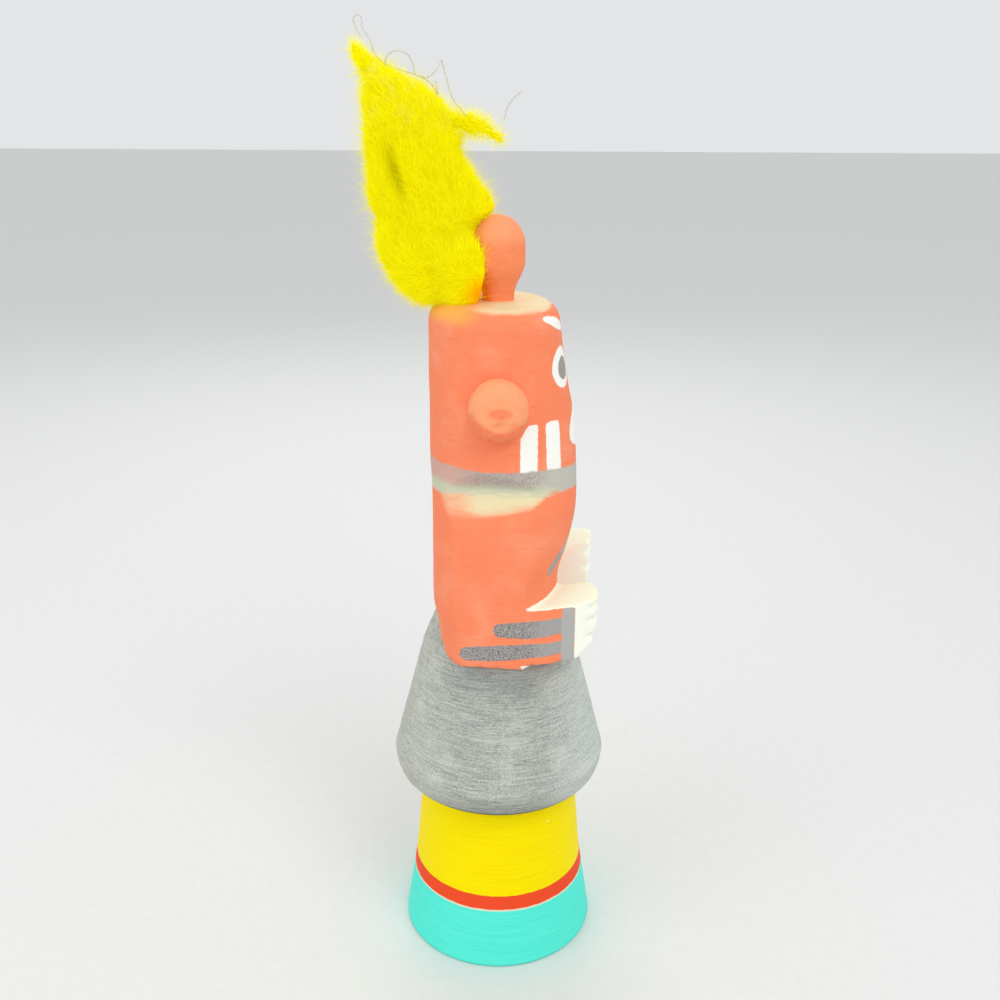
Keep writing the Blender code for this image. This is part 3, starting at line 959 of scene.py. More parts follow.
    def trunk_and_head(self) -> Piece:
        """The trunk and head before their flats are cut."""
        rings = []
        top = self.head_top - self.crown_round
        count = round((top - self.trunk_bottom) / self.level_spacing)
        for k in range(count + 1):
            z = self.trunk_bottom + (top - self.trunk_bottom) * k / count
            t = min(max((z - self.shoulder_edge) / (self.jaw_edge - self.shoulder_edge), 0.0), 1.0)
            half_width = self.trunk_half_width + (self.head_half_width - self.trunk_half_width) * t
            power = self.trunk_power + (self.head_power - self.trunk_power) * t
            rings.append(self.plan(half_width, read_table(self.back, z)[0],
                                   read_table(self.front, z)[0], power, z))
        rings[0] = [(x, y, z + self.bottom_rise * max(0.0, self.elbow_y - y))
                    for x, y, z in rings[0]]
        for k in range(1, self.crown_steps + 1):
            turn = math.pi / 2 * k / self.crown_steps
            inset = self.crown_round * (1 - math.cos(turn))
            z = top + self.crown_round * math.sin(turn)
            rings.append(self.plan(self.head_half_width - inset, self.back[-1][1] - inset,
                                   read_table(self.front, z)[0] - inset, self.head_power, z))
        return solid_from_rings("trunk_and_head", rings)

    def forearm(self, side: int, heights: Table) -> Piece:
        """One forearm and hand, with its underside cut back and its fingers cut in.

        Args:
            side: -1 for the right arm, 1 for the left arm.
            heights: Heights at the elbow and at the fingertips, of the bottom and then of the top.

        Returns:
            The forearm.
        """
        (elbow_low, tip_low), (elbow_high, tip_high) = heights
        root = [(self.arm_flat[1][0] - self.arm_root_inset, self.arm_root_y),
                (self.hand_gap_half, self.arm_root_y)]
        plan = list(self.hand_plan) + root

        low = [(side * x, y, self.arm_level(elbow_low, tip_low, y)) for x, y in plan]
        high = [(side * x, y, self.arm_level(elbow_high, tip_high, y)) for x, y in plan]
        arm = solid_from_rings("forearm", [low, high])
        outline = [(self.reach + out, tip_high + rise) for out, rise in self.tip_above]
        outline += [(self.reach + out, tip_low + rise) for out, rise in self.tip_below]
        outline += [(self.reach + 6.0, tip_high + 3.0)]
        cutter = solid_from_rings("fingertip_cut",
                                  [[(side * x, -y, z) for y, z in outline] for x in (2.0, 24.0)])
        combine(arm, cutter, "DIFFERENCE")
        for share in self.finger_gaps:
            combine(arm, self.finger_cut(side, tip_low + (tip_high - tip_low) * share),
                    "DIFFERENCE")
        return arm

    def arm_level(self, elbow: float, tip: float, y: float) -> float:
        """Height on a straight line from the elbow to the fingertips."""
        return elbow + (tip - elbow) * (self.elbow_y - y) / (self.elbow_y - self.fingertip_y)

    def finger_cut(self, side: int, height: float) -> Piece:
        """Knife cut between two fingers, a thin wedge that follows the fingertips round.

        Args:
            side: -1 for the right hand, 1 for the left hand.
            height: Height of the middle of the cut.

        Returns:
            The wedge to take away.
        """
        plan = [Vector(point) for point in self.hand_plan[:len(self.gap_depths)]]
        rings = []
        for k, depth in enumerate(self.gap_depths):
            along = plan[min(k + 1, len(plan) - 1)] - plan[max(k - 1, 0)]
            outward = Vector((along.y, -along.x)).normalized()
            apex, rim = plan[k] - outward * depth, plan[k] + outward * self.gap_rim
            rings.append([(side * apex.x, apex.y, height),
                          (side * rim.x, rim.y, height + self.gap_half),
                          (side * rim.x, rim.y, height - self.gap_half)])
        inner = [(x - 2.5 * side, y, z) for x, y, z in rings[0]]
        return solid_from_rings("finger_cut", [inner] + rings)

    def arm_flat_cut(self, side: int) -> Piece:
        """Slab outside the flat on one arm, from the trunk's lower edge up past the shoulder.

        Args:
            side: -1 for the right arm, 1 for the left arm.

        Returns:
            The slab to take away.
        """
        (back_x, back_y), (front_x, front_y) = self.arm_flat
        slope = (front_x - back_x) / (front_y - back_y)
        plan = [(back_x + slope * (y - back_y), y)
                for y in (20.0, -30.0)] + [(34.0, -30.0), (34.0, 20.0)]
        return solid_from_rings("arm_flat_cut",
                                [[(side * x, y, z) for x, y in plan] for z in (70.0, 114.5)])

    def neck_cut(self, side: int) -> Piece:
        """Notch between shoulder and jaw on one side of the neck.

        Args:
            side: -1 for the right side, 1 for the left side.

        Returns:
            The wedge to take away.
        """
        shoulder_slope = (self.neck_deepest - self.shoulder_edge) / (self.trunk_half_width - 0.9
                                                                     - self.neck_depth)
        jaw_slope = (self.jaw_edge - self.neck_deepest) / (self.head_half_width - self.neck_depth)
        (back_x, back_y), (front_x, front_y) = self.arm_flat
        lean = (front_x - back_x) / (front_y - back_y)
        rings = []
        for y in (-20.0, 20.0):
            outer = self.neck_depth + self.neck_out
            section = ((self.neck_depth, self.neck_deepest),
                       (outer, self.neck_deepest - self.neck_out * shoulder_slope
                        - self.shoulder_drop * y),
                       (outer, self.neck_deepest + self.neck_out * jaw_slope))
            rings.append([(side * (x + lean * y), y, z) for x, z in section])
        return solid_from_rings("neck_cut", rings)

    def soften(self, carved: Piece) -> None:
        """Round the carved edges as sanding and paint do, and leave the knife's slight unevenness.

        Args:
            carved: The trunk, head and arms.
        """
        remesh = carved.modifiers.new("even_faces", "REMESH")
        remesh.mode = "VOXEL"
        remesh.voxel_size = self.voxel * MM
        smooth = carved.modifiers.new("sanded", "SMOOTH")
        smooth.factor = 0.5
        smooth.iterations = 3
        apply_modifiers(carved)
        places = vertex_array(carved.data)
        normals = vertex_array(carved.data, "vertex_normals", "vector")
        points = places / MM
        (broad, small), (broad_depth, small_depth) = self.lump_sizes, self.lump_depths
        lumps = broad_depth * unevenness(points, broad, 3.0)
        lumps += small_depth * unevenness(points * np.array((1, 1, 2.2)), small, 9.0)
        set_vertices(carved.data, places + normals * (lumps * MM)[:, None])


@dataclass(frozen=True)
class PaintMarks:
    """Where each paint goes on the carved wood.

    Each mark is a distance in millimetres that is negative inside the mark. Face marks are laid
    out round the head, in millimetres along its curve from the nose or as a turn in degrees from
    straight ahead. Arm marks are laid out on the flat of the arm.
    """

    head_radius: float = 15.3
    chest_radius: float = 14.8
    left_lift: tuple[float, float] = (1.2, 0.22)
    elbow_y: float = -4.0
    eye: tuple[float, ...] = (7.2, 139.9, 5.1, 4.25)
    pupil: tuple[float, ...] = (6.6, 139.6, 3.2, 2.4)
    brow: Table = ((14.0, 150.4, 0.4), (11.5, 149.9, 0.9), (8.5, 149.0, 1.2), (4.7, 147.9, 1.0),
                   (3.2, 147.5, 0.5))
    mouth_height: float = 125.6
    mouth_half: Triple = (7.0, 5.6, 3.7)
    degree: float = 0.28
    upper_bar: Table = ((-0.3, 84.5, 1.65), (-6.0, 84.9, 2.05), (-14.0, 86.4, 1.8))
    lower_bar: Table = ((7.0, 78.5, 1.65), (0.0, 79.05, 1.85), (-14.0, 81.2, 1.4))
    low_chip: Table = ((-4.8, 76.0, 0.3), (-6.3, 75.9, 0.4))
    ledge_chip: Table = ((-5.9, 89.7, 0.25), (-7.4, 89.9, 0.3))
    strap: Table = ((12.7, 96.4, 0.9), (12.1, 98.0, 1.2), (10.2, 99.8, 1.3), (7.0, 102.0, 1.3),
                    (4.8, 105.0, 1.3), (2.4, 110.0, 1.3), (1.0, 114.5, 1.3))
    band_top: Table = ((0, 25, 53, 104, 126, 180), (118.0, 118.8, 119.7, 119.7, 120.2, 120.0))
    band_bottom: Table = ((0, 15, 43, 56, 120, 150, 180),
                          (113.4, 113.8, 114.7, 114.6, 114.4, 113.6, 112.8))
    band_softness: Table = ((0, 38, 54, 128, 150, 180), (1.0, 1.2, 3.4, 3.4, 2.0, 1.5))
    band_core: Table = ((0, 43, 56, 90, 146, 180), (113.0, 114.6, 116.4, 116.4, 116.4, 115.2))
    cream_low: Table = ((50, 58, 67, 83, 103, 127, 138, 146),
                        (116, 113.8, 111.7, 110.4, 109.6, 109.2, 112.5, 116))
    carved_from: float = 74.0
    far: float = 50.0

    def mark_out(self, mesh: Mesh) -> None:
        """Store every mark on a mesh.

        Args:
            mesh: The finished body's mesh, in metres.
        """
        places = vertex_array(mesh) / MM
        normals = vertex_array(mesh, "vertex_normals", "vector")
        x, y, z = places.T
        turn = np.degrees(np.arctan2(np.abs(x), -y))
        lift, slope = self.left_lift
        arm_z = np.where(x > 0, z - (lift + slope * (self.elbow_y - y)), z)
        white = np.minimum(self.face(turn, z), self.hands(x, y, z, arm_z, normals))
        dark = np.minimum(self.arm_bands(x, y, z, arm_z, normals), self.straps(turn, y, z, normals))
        eye_y, eye_z, half_u, half_v = self.pupil
        store(mesh, "white_marks", np.where(z > self.carved_from, white, self.far))
        store(mesh, "hands", ease(100.0, 96.0, z))
        # Faces of the hands and ledge turned up: painted top light in ivory.
        store(mesh, "ivory_and_highlight", ease(0.3, 0.8, normals[:, 2]) * ease(89.2, 89.6, arm_z) * (z < 100))
        store(mesh, "dark_marks", np.where(z > self.carved_from, dark, self.far))
        store(mesh, "pupils", oval_distance(np.radians(turn) * self.head_radius - eye_y, z - eye_z,
                                            half_u, half_v))
        bottom = (np.interp(turn, *self.band_bottom) - z) / np.interp(turn, *self.band_softness)
        store(mesh, "neck_band", np.maximum(z - np.interp(turn, *self.band_top), bottom))
        store(mesh, "neck_core", np.interp(turn, *self.band_core) - z)
        # Cream of rubbed primer and of painted highlight on the shoulder and crown.
        store(mesh, "wear_and_highlight", self.wear_and_highlight(turn, y, z, normals))

    def face(self, turn: np.ndarray, z: np.ndarray) -> np.ndarray:
        """Eyes, brows, mouth and cheek bars.

        Args:
            turn: Turn of each point from straight ahead, in degrees.
            z: Height of each point.

        Returns:
            Distance to the nearest white mark on the face.
        """
        across = np.radians(turn) * self.head_radius
        eye_y, eye_z, half_u, half_v = self.eye
        eyes = oval_distance(across - eye_y, z - eye_z, half_u, half_v)
        brow = stroke_distance(across, z, self.brow)
        half_width, above, below = self.mouth_half
        up = z - self.mouth_height
        mouth = (np.hypot(across / half_width, up / np.where(up > 0, above, below)) - 1.0) * 3.8
        back_bar = np.maximum((np.abs(turn - 68.6) - 6.7) * self.degree, z - 129.6)
        back_bar = np.maximum(back_bar, (turn - 70.0) * self.degree * 0.86 + (z - 129.3) * 0.52)
        middle = 47.0 + (z - 119.4) * 0.16
        beside = np.maximum((np.abs(turn - middle) - 3.4) * self.degree, 0)
        front_bar = np.hypot(beside, np.maximum(z - 128.8, 0)) - 0.98
        above_band = np.where(z > 116.0, 0.0, self.far)
        return np.minimum.reduce([eyes, brow, mouth, back_bar, front_bar]) + above_band

    def hands(self, x: np.ndarray, y: np.ndarray, z: np.ndarray, arm_z: np.ndarray,
              normals: np.ndarray) -> np.ndarray:
        """White on the hands, on the ledge above them and in two small chips.

        Args:
            x: First coordinate of each point.
            y: Second coordinate.
            z: Height.
            arm_z: Height as it would be on the right arm.
            normals: Direction of the surface at each point.

        Returns:
            Distance to the nearest white mark.
        """
        on_ledge = np.maximum.reduce([(0.55 - normals[:, 2]) * 2.0, y + 6.6, 85.0 - arm_z,
                                      arm_z - 95.0])
        inside = np.maximum.reduce([np.abs(np.abs(x) - 5.2) - 1.4, y + 13.3, arm_z - 93.0,
                                    75.0 - arm_z])
        hand = np.maximum.reduce([y + 16.1, arm_z - 94.0, 74.0 - z])
        chips = np.minimum(stroke_distance(y, z, self.low_chip),
                           stroke_distance(y, z, self.ledge_chip))
        return np.minimum.reduce([on_ledge, inside, hand, chips + np.where(x < -12, 0.0, self.far)])

    def arm_bands(self, x: np.ndarray, y: np.ndarray, z: np.ndarray, arm_z: np.ndarray,
                  normals: np.ndarray) -> np.ndarray:
        """Charcoal bars along the forearms and cuffs at the wrists.

        Args:
            x: First coordinate of each point.
            y: Second coordinate.
            z: Height.
            arm_z: Height as it would be on the right arm.
            normals: Direction of the surface at each point.

        Returns:
            Distance to the nearest bar or cuff.
        """
        outside = 15.0 - np.maximum(np.abs(x), np.hypot(x, y) - 5.4)
        bars = np.minimum(stroke_distance(y, arm_z, self.upper_bar),
                          stroke_distance(y, arm_z, self.lower_bar))
        bars = np.maximum.reduce([bars, outside, -(y + 14.5)])
        cuff = np.maximum.reduce([np.abs(y + 14.75) - 1.35, outside, (normals[:, 2] - 0.55) * 2.0,
                                  arm_z - 93.0, 74.0 - z])
        return np.minimum(bars, cuff)

    def straps(self, turn: np.ndarray, y: np.ndarray, z: np.ndarray,
               normals: np.ndarray) -> np.ndarray:
        """Charcoal straps that hang from the neck band over the chest.

        Args:
            turn: Turn of each point from straight ahead, in degrees.
            y: Second coordinate of each point.
            z: Height.
            normals: Direction of the surface at each point.

        Returns:
            Distance to a strap.
        """
        strap = stroke_distance(np.radians(turn) * self.chest_radius, z, self.strap)
        return np.maximum.reduce([strap, y + 7.0, 0.3 - np.abs(normals[:, 1])])

    def wear_and_highlight(self, turn: np.ndarray, y: np.ndarray, z: np.ndarray,
             normals: np.ndarray) -> np.ndarray:
        """How much cream shows on the coral at the shoulder and on the crown: primer rubbed
        through, and a painted highlight on faces turned up to the light.

        Args:
            turn: Turn of each point from straight ahead, in degrees.
            y: Second coordinate of each point.
            z: Height.
            normals: Direction of the surface at each point.

        Returns:
            0 where the coral is plain and 1 where it is fully cream.
        """
        over = z - np.interp(turn, *self.cream_low)
        shoulder = ease(-0.9, 0.9, over) * (0.6 + 0.4 * ease(0.0, 3.0, over)) * (z < 118)
        shoulder *= 1 - 0.45 * ease(3.0, 9.0, y)
        # Faces of the crown turned up, and its front rim, get the most cream: painted highlight
        # from the light above, with worn primer.
        crown = 0.85 * ease(0.62, 1.0, normals[:, 2]) * (z > 146)
        crown *= 0.3 + 0.7 * (1 - ease(0.0, 10.0, y))
        rim = ease(0.7, 0.9, normals[:, 2]) * (z > 146) * (1 - ease(-9.0, -4.0, y))
        return np.clip(np.maximum.reduce([shoulder, crown, 0.9 * rim]), 0.0, 1.0)


# --- Knobs --------------------------------------------------------------------------------------


class KnobPlace(Enum):
    """Where a knob is glued, with its name in the frame."""

    TOPKNOT = "topknot"
    EAR_RIGHT = "ear_right"
    EAR_LEFT = "ear_left"


@dataclass
class Knob:
    """One small turned knob."""

    place: KnobPlace
    steps: int = 96
    topknot_y: float = 0.6
    topknot_top: float = 169.9
    topknot_outline: Table = ((151.8, 3.5), (153.2, 3.3), (155.6, 3.8), (157.9, 4.8), (160.0, 5.45),
                              (164.2, 5.45))
    neck_steps: int = 36
    dome_steps: int = 24
    facet_depth: float = 0.22
    facet_count: int = 7
    lump_depth: float = 0.12
    ear_middle: tuple[float, float] = (0.4, 133.2)
    ear_radius: float = 6.1
    ear_height: float = 1.08
    ear_rim: float = 1.5
    ear_reach: float = 5.6
    ear_tip: float = 2.6
    ear_start: float = 15.7
    ear_sunk: float = 3.0
    ear_steps: int = 32

    def build(self) -> Piece:
        """Make the finished knob."""
        knob = self.topknot() if self.place is KnobPlace.TOPKNOT else self.ear()
        knob.data.shade_smooth()
        knob.data.set_sharp_from_angle(angle=math.radians(35))
        return knob

    def topknot(self) -> Piece:
        """The knob on the crown: a neck that widens to a facetted, domed end."""
        (low, _), (high, widest) = self.topknot_outline[0], self.topknot_outline[-1]
        heights = [low + (high - low) * k / self.neck_steps for k in range(self.neck_steps + 1)]
        profile = [(read_table(self.topknot_outline, z)[0], z) for z in heights]
        for k in range(1, self.dome_steps):
            turn = math.pi / 2 * k / self.dome_steps
            profile.append((widest * math.cos(turn) ** 1.08,
                            high + (self.topknot_top - high) * math.sin(turn)))
        knob = turned("painted_topknot", profile, self.steps)
        places = vertex_array(knob.data) / MM
        turn = np.arctan2(places[:, 1], places[:, 0])
        radius = np.hypot(places[:, 0], places[:, 1])
        facets = self.facet_depth * np.cos(self.facet_count * turn + 0.6)
        facets *= ease(157.0, 161.5, places[:, 2]) * (1 - ease(164, 168.5, places[:, 2]))
        lumps = self.lump_depth * unevenness(places, 3.0, 6.0)
        scale = 1 + (lumps + facets) / np.maximum(radius, 1.0)
        places[:, 0] *= scale
        places[:, 1] = places[:, 1] * scale + self.topknot_y
        set_vertices(knob.data, places * MM)
        # Lighter towards the top: worn primer and painted highlight.
        store(knob.data, "wear_and_highlight", 0.55 * ease(160.5, 166.5, places[:, 2]))
        behind = ease(1.0, 3.2, places[:, 1] - self.topknot_y)
        store(knob.data, "plume_tint", behind * (1 - ease(155.5, 160.0, places[:, 2])))
        knob.data.materials.append(KnobPaint("acrylic_on_topknot", worn_and_lit="FBA273").build())
        return knob

    def ear(self) -> Piece:
        """The button on one side of the head, a low dome with a small flat tip."""
        side = -1 if self.place is KnobPlace.EAR_RIGHT else 1
        profile = [(self.ear_radius - 0.5, 0.5 * k - self.ear_sunk) for k in range(7)]
        for k in range(self.ear_steps + 1):
            turn = math.pi / 2 * k / self.ear_steps
            profile.append((self.ear_tip + (self.ear_radius - self.ear_tip) * math.cos(turn),
                            self.ear_rim + (self.ear_reach - self.ear_rim)
                            * math.sin(turn) ** 0.92))
        profile += [(self.ear_tip * (1 - k / 10), self.ear_reach + 0.02 * k) for k in range(1, 10)]
        ear = turned(f"painted_{self.place.value}", profile, self.steps)
        y, z = self.ear_middle
        ear.data.transform(Matrix.Translation(Vector((side * self.ear_start, y, z)) * MM)
                           @ Matrix.Diagonal((1.0, 1.0, self.ear_height, 1.0))
                           @ Matrix.Rotation(side * math.pi / 2, 4, "Y"))
        places = vertex_array(ear.data) / MM
        lumps = unevenness(places, 2.4, 5.0)[:, None]
        places += vertex_array(ear.data, "vertex_normals", "vector") * self.lump_depth * lumps
        set_vertices(ear.data, places * MM)
        normals = vertex_array(ear.data, "vertex_normals", "vector")
        # Painted highlight on the dome's upward faces, and painted shade on the flat tip's face,
        # which faces sideways away from the light above.
        dome = 0.56 * ease(-0.42, 0.0, normals[:, 2] - 0.12 * normals[:, 1])
        shaded_tip_face = ease(1.4, 0.6, np.hypot((places[:, 1] - y + 0.4) / 2.2,
                                        (places[:, 2] - z - 0.3) / 1.0))
        store(ear.data, "wear_and_highlight", dome * (1 - 0.6 * shaded_tip_face))
        store(ear.data, "plume_tint", np.zeros(len(places)))
        ear.data.materials.append(KnobPaint(f"acrylic_on_{self.place.value}", "F98A5E",
                                            "F17A50").build())
        return ear


# --- Plume --------------------------------------------------------------------------------------


@dataclass(frozen=True)
class Barbs:
    """One kind of barb that covers the plume."""

    name: str
    count: int
    length: float
    width: float
    lean: float
    rise: float
    wildness: float
    segments: int
    bend: float
    seed: int

    def sizes(self, area: float) -> dict[str, float]:
        """What the barbs' nodes are given.

        Args:
            area: Area of the surface that they grow on, in square metres.

        Returns:
            A value for each input of the nodes, by its name.
        """
        return {"Density": self.count / area, "Length": self.length * MM, "Width": self.width * MM,
                "Lean": self.lean, "Rise": self.rise, "Wildness": self.wildness, "Bend": self.bend,
                "Seed": self.seed}


@dataclass
class Plume:
    """The tuft of dyed down behind the topknot: a dense heart, its barbs, and stray threads."""

    levels: Table = ((152.95, 11.0, 5.2, 1.2, 4.4), (155.6, 12.0, 8.1, 1.6, 6.6),
                     (160.5, 13.6, 10.0, 1.6, 8.0), (165.5, 15.2, 9.9, 1.9, 8.1),
                     (168.2, 15.2, 10.5, 2.2, 8.1), (170.4, 14.0, 12.1, 2.4, 8.2),
                     (178.5, 17.0, 9.3, 1.3, 7.7), (184.0, 18.1, 8.5, 0.9, 7.0),
                     (190.0, 19.2, 7.4, 0.4, 5.6), (195.0, 22.1, 3.5, 0.0, 3.2),
                     (197.4, 25.3, 2.0, 0.0, 2.0), (199.6, 27.8, 0.8, 0.0, 1.0),
                     (201.2, 28.5, 0.4, 0.0, 0.5))
    cheek: Table = ((152.95, 2.4), (156.2, 3.4), (159.0, 4.0), (161.5, 3.3), (163.5, 1.8),
                    (164.6, 0.5))
    cheek_place: tuple[float, float] = (-5.2, 7.3)
    tuft: Table = ((12.0, 187.9, 1.8), (7.0, 187.2, 0.9), (3.0, 186.0, 0.7), (0.2, 184.2, 0.35))
    kinds: tuple[Barbs, ...] = (Barbs("plume_down_inner", 19000, 3.0, 0.15, lean=1.5, rise=0.3,
                                      wildness=0.35, segments=2, bend=0.25, seed=3),
                                Barbs("plume_down_outer", 19000, 3.2, 0.11, lean=1.2, rise=0.4,
                                      wildness=0.5, segments=2, bend=0.35, seed=8),
                                Barbs("plume_wisps", 7000, 4.8, 0.065, lean=0.7, rise=0.6,
                                      wildness=1.0, segments=4, bend=0.5, seed=21))
    thread_paths: tuple[Table, ...] = (((28.8, 206.3), (28.0, 207.0), (27.2, 206.5), (27.0, 204.6),
                                        (26.0, 203.2), (25.3, 202.0), (24.9, 200.3), (23.2, 198.5),
                                        (20.1, 197.2), (16.2, 196.0), (13.8, 194.5), (12.7, 192.5)),
                                       ((28.7, 206.2), (28.3, 204.7), (27.4, 203.1)),
                                       ((23.0, 198.3), (22.2, 199.8), (20.8, 200.5), (19.4, 200.4),
                                        (18.2, 199.7), (17.5, 198.3), (17.1, 196.4)),
                                       ((17.0, 196.2), (14.6, 195.8), (13.0, 196.9), (12.1, 198.4),
                                        (11.9, 199.1), (11.5, 197.7), (10.2, 193.2), (9.3, 191.3),
                                        (7.9, 189.8), (7.3, 188.5)),
                                       ((-0.3, 187.8), (-1.0, 190.1), (-2.2, 192.0), (-4.0, 193.3)),
                                       ((13.0, 195.1), (12.5, 192.6)))
    thread_radius: float = 0.16
    thread_sway: float = 0.5
    thread_step: float = 0.35
    thread_sides: int = 5
    ring_steps: int = 72
    rings: int = 90
    tuft_steps: int = 20
    tuft_rings: int = 24
    lobe_steps: int = 32
    lobe_rings: int = 20
    lobe_squash: float = 0.72
    furrow_depth: float = 0.35
    lump_depth: float = 0.75
    hollow_middle: tuple[float, float] = (20.7, 177.0)
    hollow_size: tuple[float, float] = (1.0, 4.4)
    hollow_lean: float = 0.28
    hollow_depth: float = 1.8

    def build(self) -> list[Piece]:
        """Make the heart, each kind of barb and the threads."""
        down = DyedFluff("dyed_marabou_down").build()
        heart = self.heart()
        heart.data.materials.clear()
        heart.data.materials.append(down)
        return [heart] + [self.grow(heart, kind, down) for kind in self.kinds] + [self.threads()]

    def heart(self) -> Piece:
        """The dense inside of the plume, lumpy and furrowed along its barbs."""
        heart = solid_from_rings("plume_heart", self.main_rings())
        combine(heart, self.side_tuft(), "UNION")
        combine(heart, self.front_lobe(), "UNION")
        mesh = heart.data
        places = vertex_array(mesh) / MM
        normals = vertex_array(mesh, "vertex_normals", "vector")
        x, y, z = places.T
        furrows = unevenness(places * np.array((1.0, 1.0, 0.22)), 1.5, 12.0)
        lumps = unevenness(places, 5.0, 2.0)
        (middle_y, middle_z), (half_y, half_z) = self.hollow_middle, self.hollow_size
        beside = (y - middle_y - self.hollow_lean * (z - middle_z)) / half_y
        shaded_hollow = np.exp(-(beside**2 + ((z - middle_z) / half_z) ** 2)) * (x < 1.0)
        shift = self.furrow_depth * furrows + self.lump_depth * lumps - self.hollow_depth * shaded_hollow
        shift *= ease(150, 158, z) * (1 - 0.8 * ease(190, 200, z)) * np.where(y < 4.5, 0.3, 1.0)
        set_vertices(mesh, (places + normals * shift[:, None]) * MM)
        store(mesh, "comb", self.combed(y, z, normals))
        store(mesh, "tone", np.full(len(z), 0.35) + 0.4 * np.clip(furrows, 0, 1))
        store(mesh, "along", np.full(len(z), 0.16))
        # Darker colour in the hollow: painted shade.
        store(mesh, "shaded_hollow", np.clip(0.8 * shaded_hollow, 0.0, 1.0))
        store(mesh, "stain", 0.85 * ease(7.0, 4.4, y) * ease(159.0, 155.0, z))
        mesh.shade_smooth()
        return heart

    def main_rings(self) -> list[list[Triple]]:
        """Level rings of the plume's main body, from its root to its tip."""
        lowest, highest = self.levels[0][0], self.levels[-1][0]
        turns = [2 * math.pi * j / self.ring_steps for j in range(self.ring_steps)]
        rings = []
        for k in range(self.rings + 1):
            z = lowest + (highest - lowest) * k / self.rings
            middle, depth, shift, width = read_table(self.levels, z)
            rings.append([(shift + width * math.cos(t), middle + depth * math.sin(t), z)
                          for t in turns])
        return rings

    def side_tuft(self) -> Piece:
        """The tuft that points forward from the plume's upper part."""
        turns = [2 * math.pi * j / self.tuft_steps for j in range(self.tuft_steps)]
        rings = []
        for k in range(self.tuft_rings + 1):
            y, z, radius = self.tuft_at(k / self.tuft_rings)
            rings.append([(radius * math.cos(t), y, z + radius * math.sin(t)) for t in turns])
        return solid_from_rings("side_tuft", rings)

    def combed(self, y: np.ndarray, z: np.ndarray, normals: np.ndarray) -> np.ndarray:
        """Which way the barbs are combed: up the plume, out along the tuft, back at the root.

        Args:
            y: Second coordinate of each point, in millimetres.
            z: Height of each point.
            normals: Direction of the surface at each point.

        Returns:
            A direction at each point, short where the barbs are loose.
        """
        highest = self.levels[-1][0]
        slope = np.array([read_table(self.levels, min(v + 2.0, highest))[0]
                          - read_table(self.levels, v)[0] for v in z])
        comb = np.stack([0.15 * normals[:, 0], slope / 2.0, np.ones_like(z)], axis=1)
        on_tuft = (ease(12.0, 8.0, y) * ease(181.0, 184.0, z))[:, None]
        comb = comb * (1 - on_tuft) + on_tuft * np.array((0.0, -0.9, 0.1))
        lower = ease(163.0, 154.0, z)[:, None]
        comb = comb * (1 - lower) + lower * np.array((0.0, 0.55, -0.35))
        return comb * ((1 - 0.85 * on_tuft) / np.linalg.norm(comb, axis=1)[:, None])

    def front_lobe(self) -> Piece:
        """The bulge of down that wraps round the near side of the topknot's neck."""
        middle_x, middle_y = self.cheek_place
        lowest, highest = self.cheek[0][0], self.cheek[-1][0]
        turns = [2 * math.pi * j / self.lobe_steps for j in range(self.lobe_steps)]
        rings = []
        for k in range(self.lobe_rings + 1):
            z = lowest + (highest - lowest) * k / self.lobe_rings
            radius = read_table(self.cheek, z)[0]
            rings.append([(middle_x + self.lobe_squash * radius * math.cos(t),
                           middle_y + radius * math.sin(t), z) for t in turns])
        return solid_from_rings("front_lobe", rings)

    def tuft_at(self, t: float) -> Triple:
        """Middle and radius of the side tuft, from its root (0) to its tip (1)."""
        part = min(t * (len(self.tuft) - 1), len(self.tuft) - 1.0001)
        i = int(part)
        here, there = self.tuft[i], self.tuft[i + 1]
        return tuple(a + (b - a) * (part - i) for a, b in zip(here, there))

    def barb_tree(self, kind: Barbs, material: Material) -> Tree:
        """Nodes that scatter curved, tapering barbs over a surface and comb them.

        Args:
            kind: The kind of barb, which gives the name and the number of segments.
            material: The barbs' material.

        Returns:
            The tree, with an input for each size.
        """
        tree = bpy.data.node_groups.new(kind.name, "GeometryNodeTree")
        tree.interface.new_socket("Surface", in_out="INPUT", socket_type="NodeSocketGeometry")
        for name in ("Density", "Length", "Width", "Lean", "Rise", "Wildness", "Bend"):
            tree.interface.new_socket(name, in_out="INPUT", socket_type="NodeSocketFloat")
        tree.interface.new_socket("Seed", in_out="INPUT", socket_type="NodeSocketInt")
        tree.interface.new_socket("Barbs", in_out="OUTPUT", socket_type="NodeSocketGeometry")
        given = add(tree, "NodeGroupInput").outputs
        points = add(tree, "GeometryNodeDistributePointsOnFaces",
                     {"Mesh": given["Surface"], "Density": given["Density"], "Seed": given["Seed"]})
        comb = add(tree, "GeometryNodeInputNamedAttribute", {"Name": "comb"},
                   data_type="FLOAT_VECTOR").outputs[0]
        chance = add(tree, "FunctionNodeRandomValue",
                     {0: (-1, -1, -1), 1: (1, 1, 1), "Seed": given["Seed"]},
                     data_type="FLOAT_VECTOR").outputs[0]
        wild = add(tree, "ShaderNodeVectorMath", {0: chance, 3: given["Wildness"]},
                   operation="SCALE").outputs[0]
        combed = add(tree, "ShaderNodeVectorMath", {0: comb, 3: given["Lean"]},
                     operation="SCALE").outputs[0]
        outward = add(tree, "ShaderNodeVectorMath", {0: points.outputs["Normal"], 3: given["Rise"]},
                      operation="SCALE").outputs[0]
        way = add(tree, "ShaderNodeVectorMath", {0: combed, 1: outward}, operation="ADD").outputs[0]
        way = add(tree, "ShaderNodeVectorMath", {0: way, 1: wild}, operation="ADD").outputs[0]
        aim = add(tree, "FunctionNodeAlignRotationToVector", {"Vector": way}, axis="Z").outputs[0]
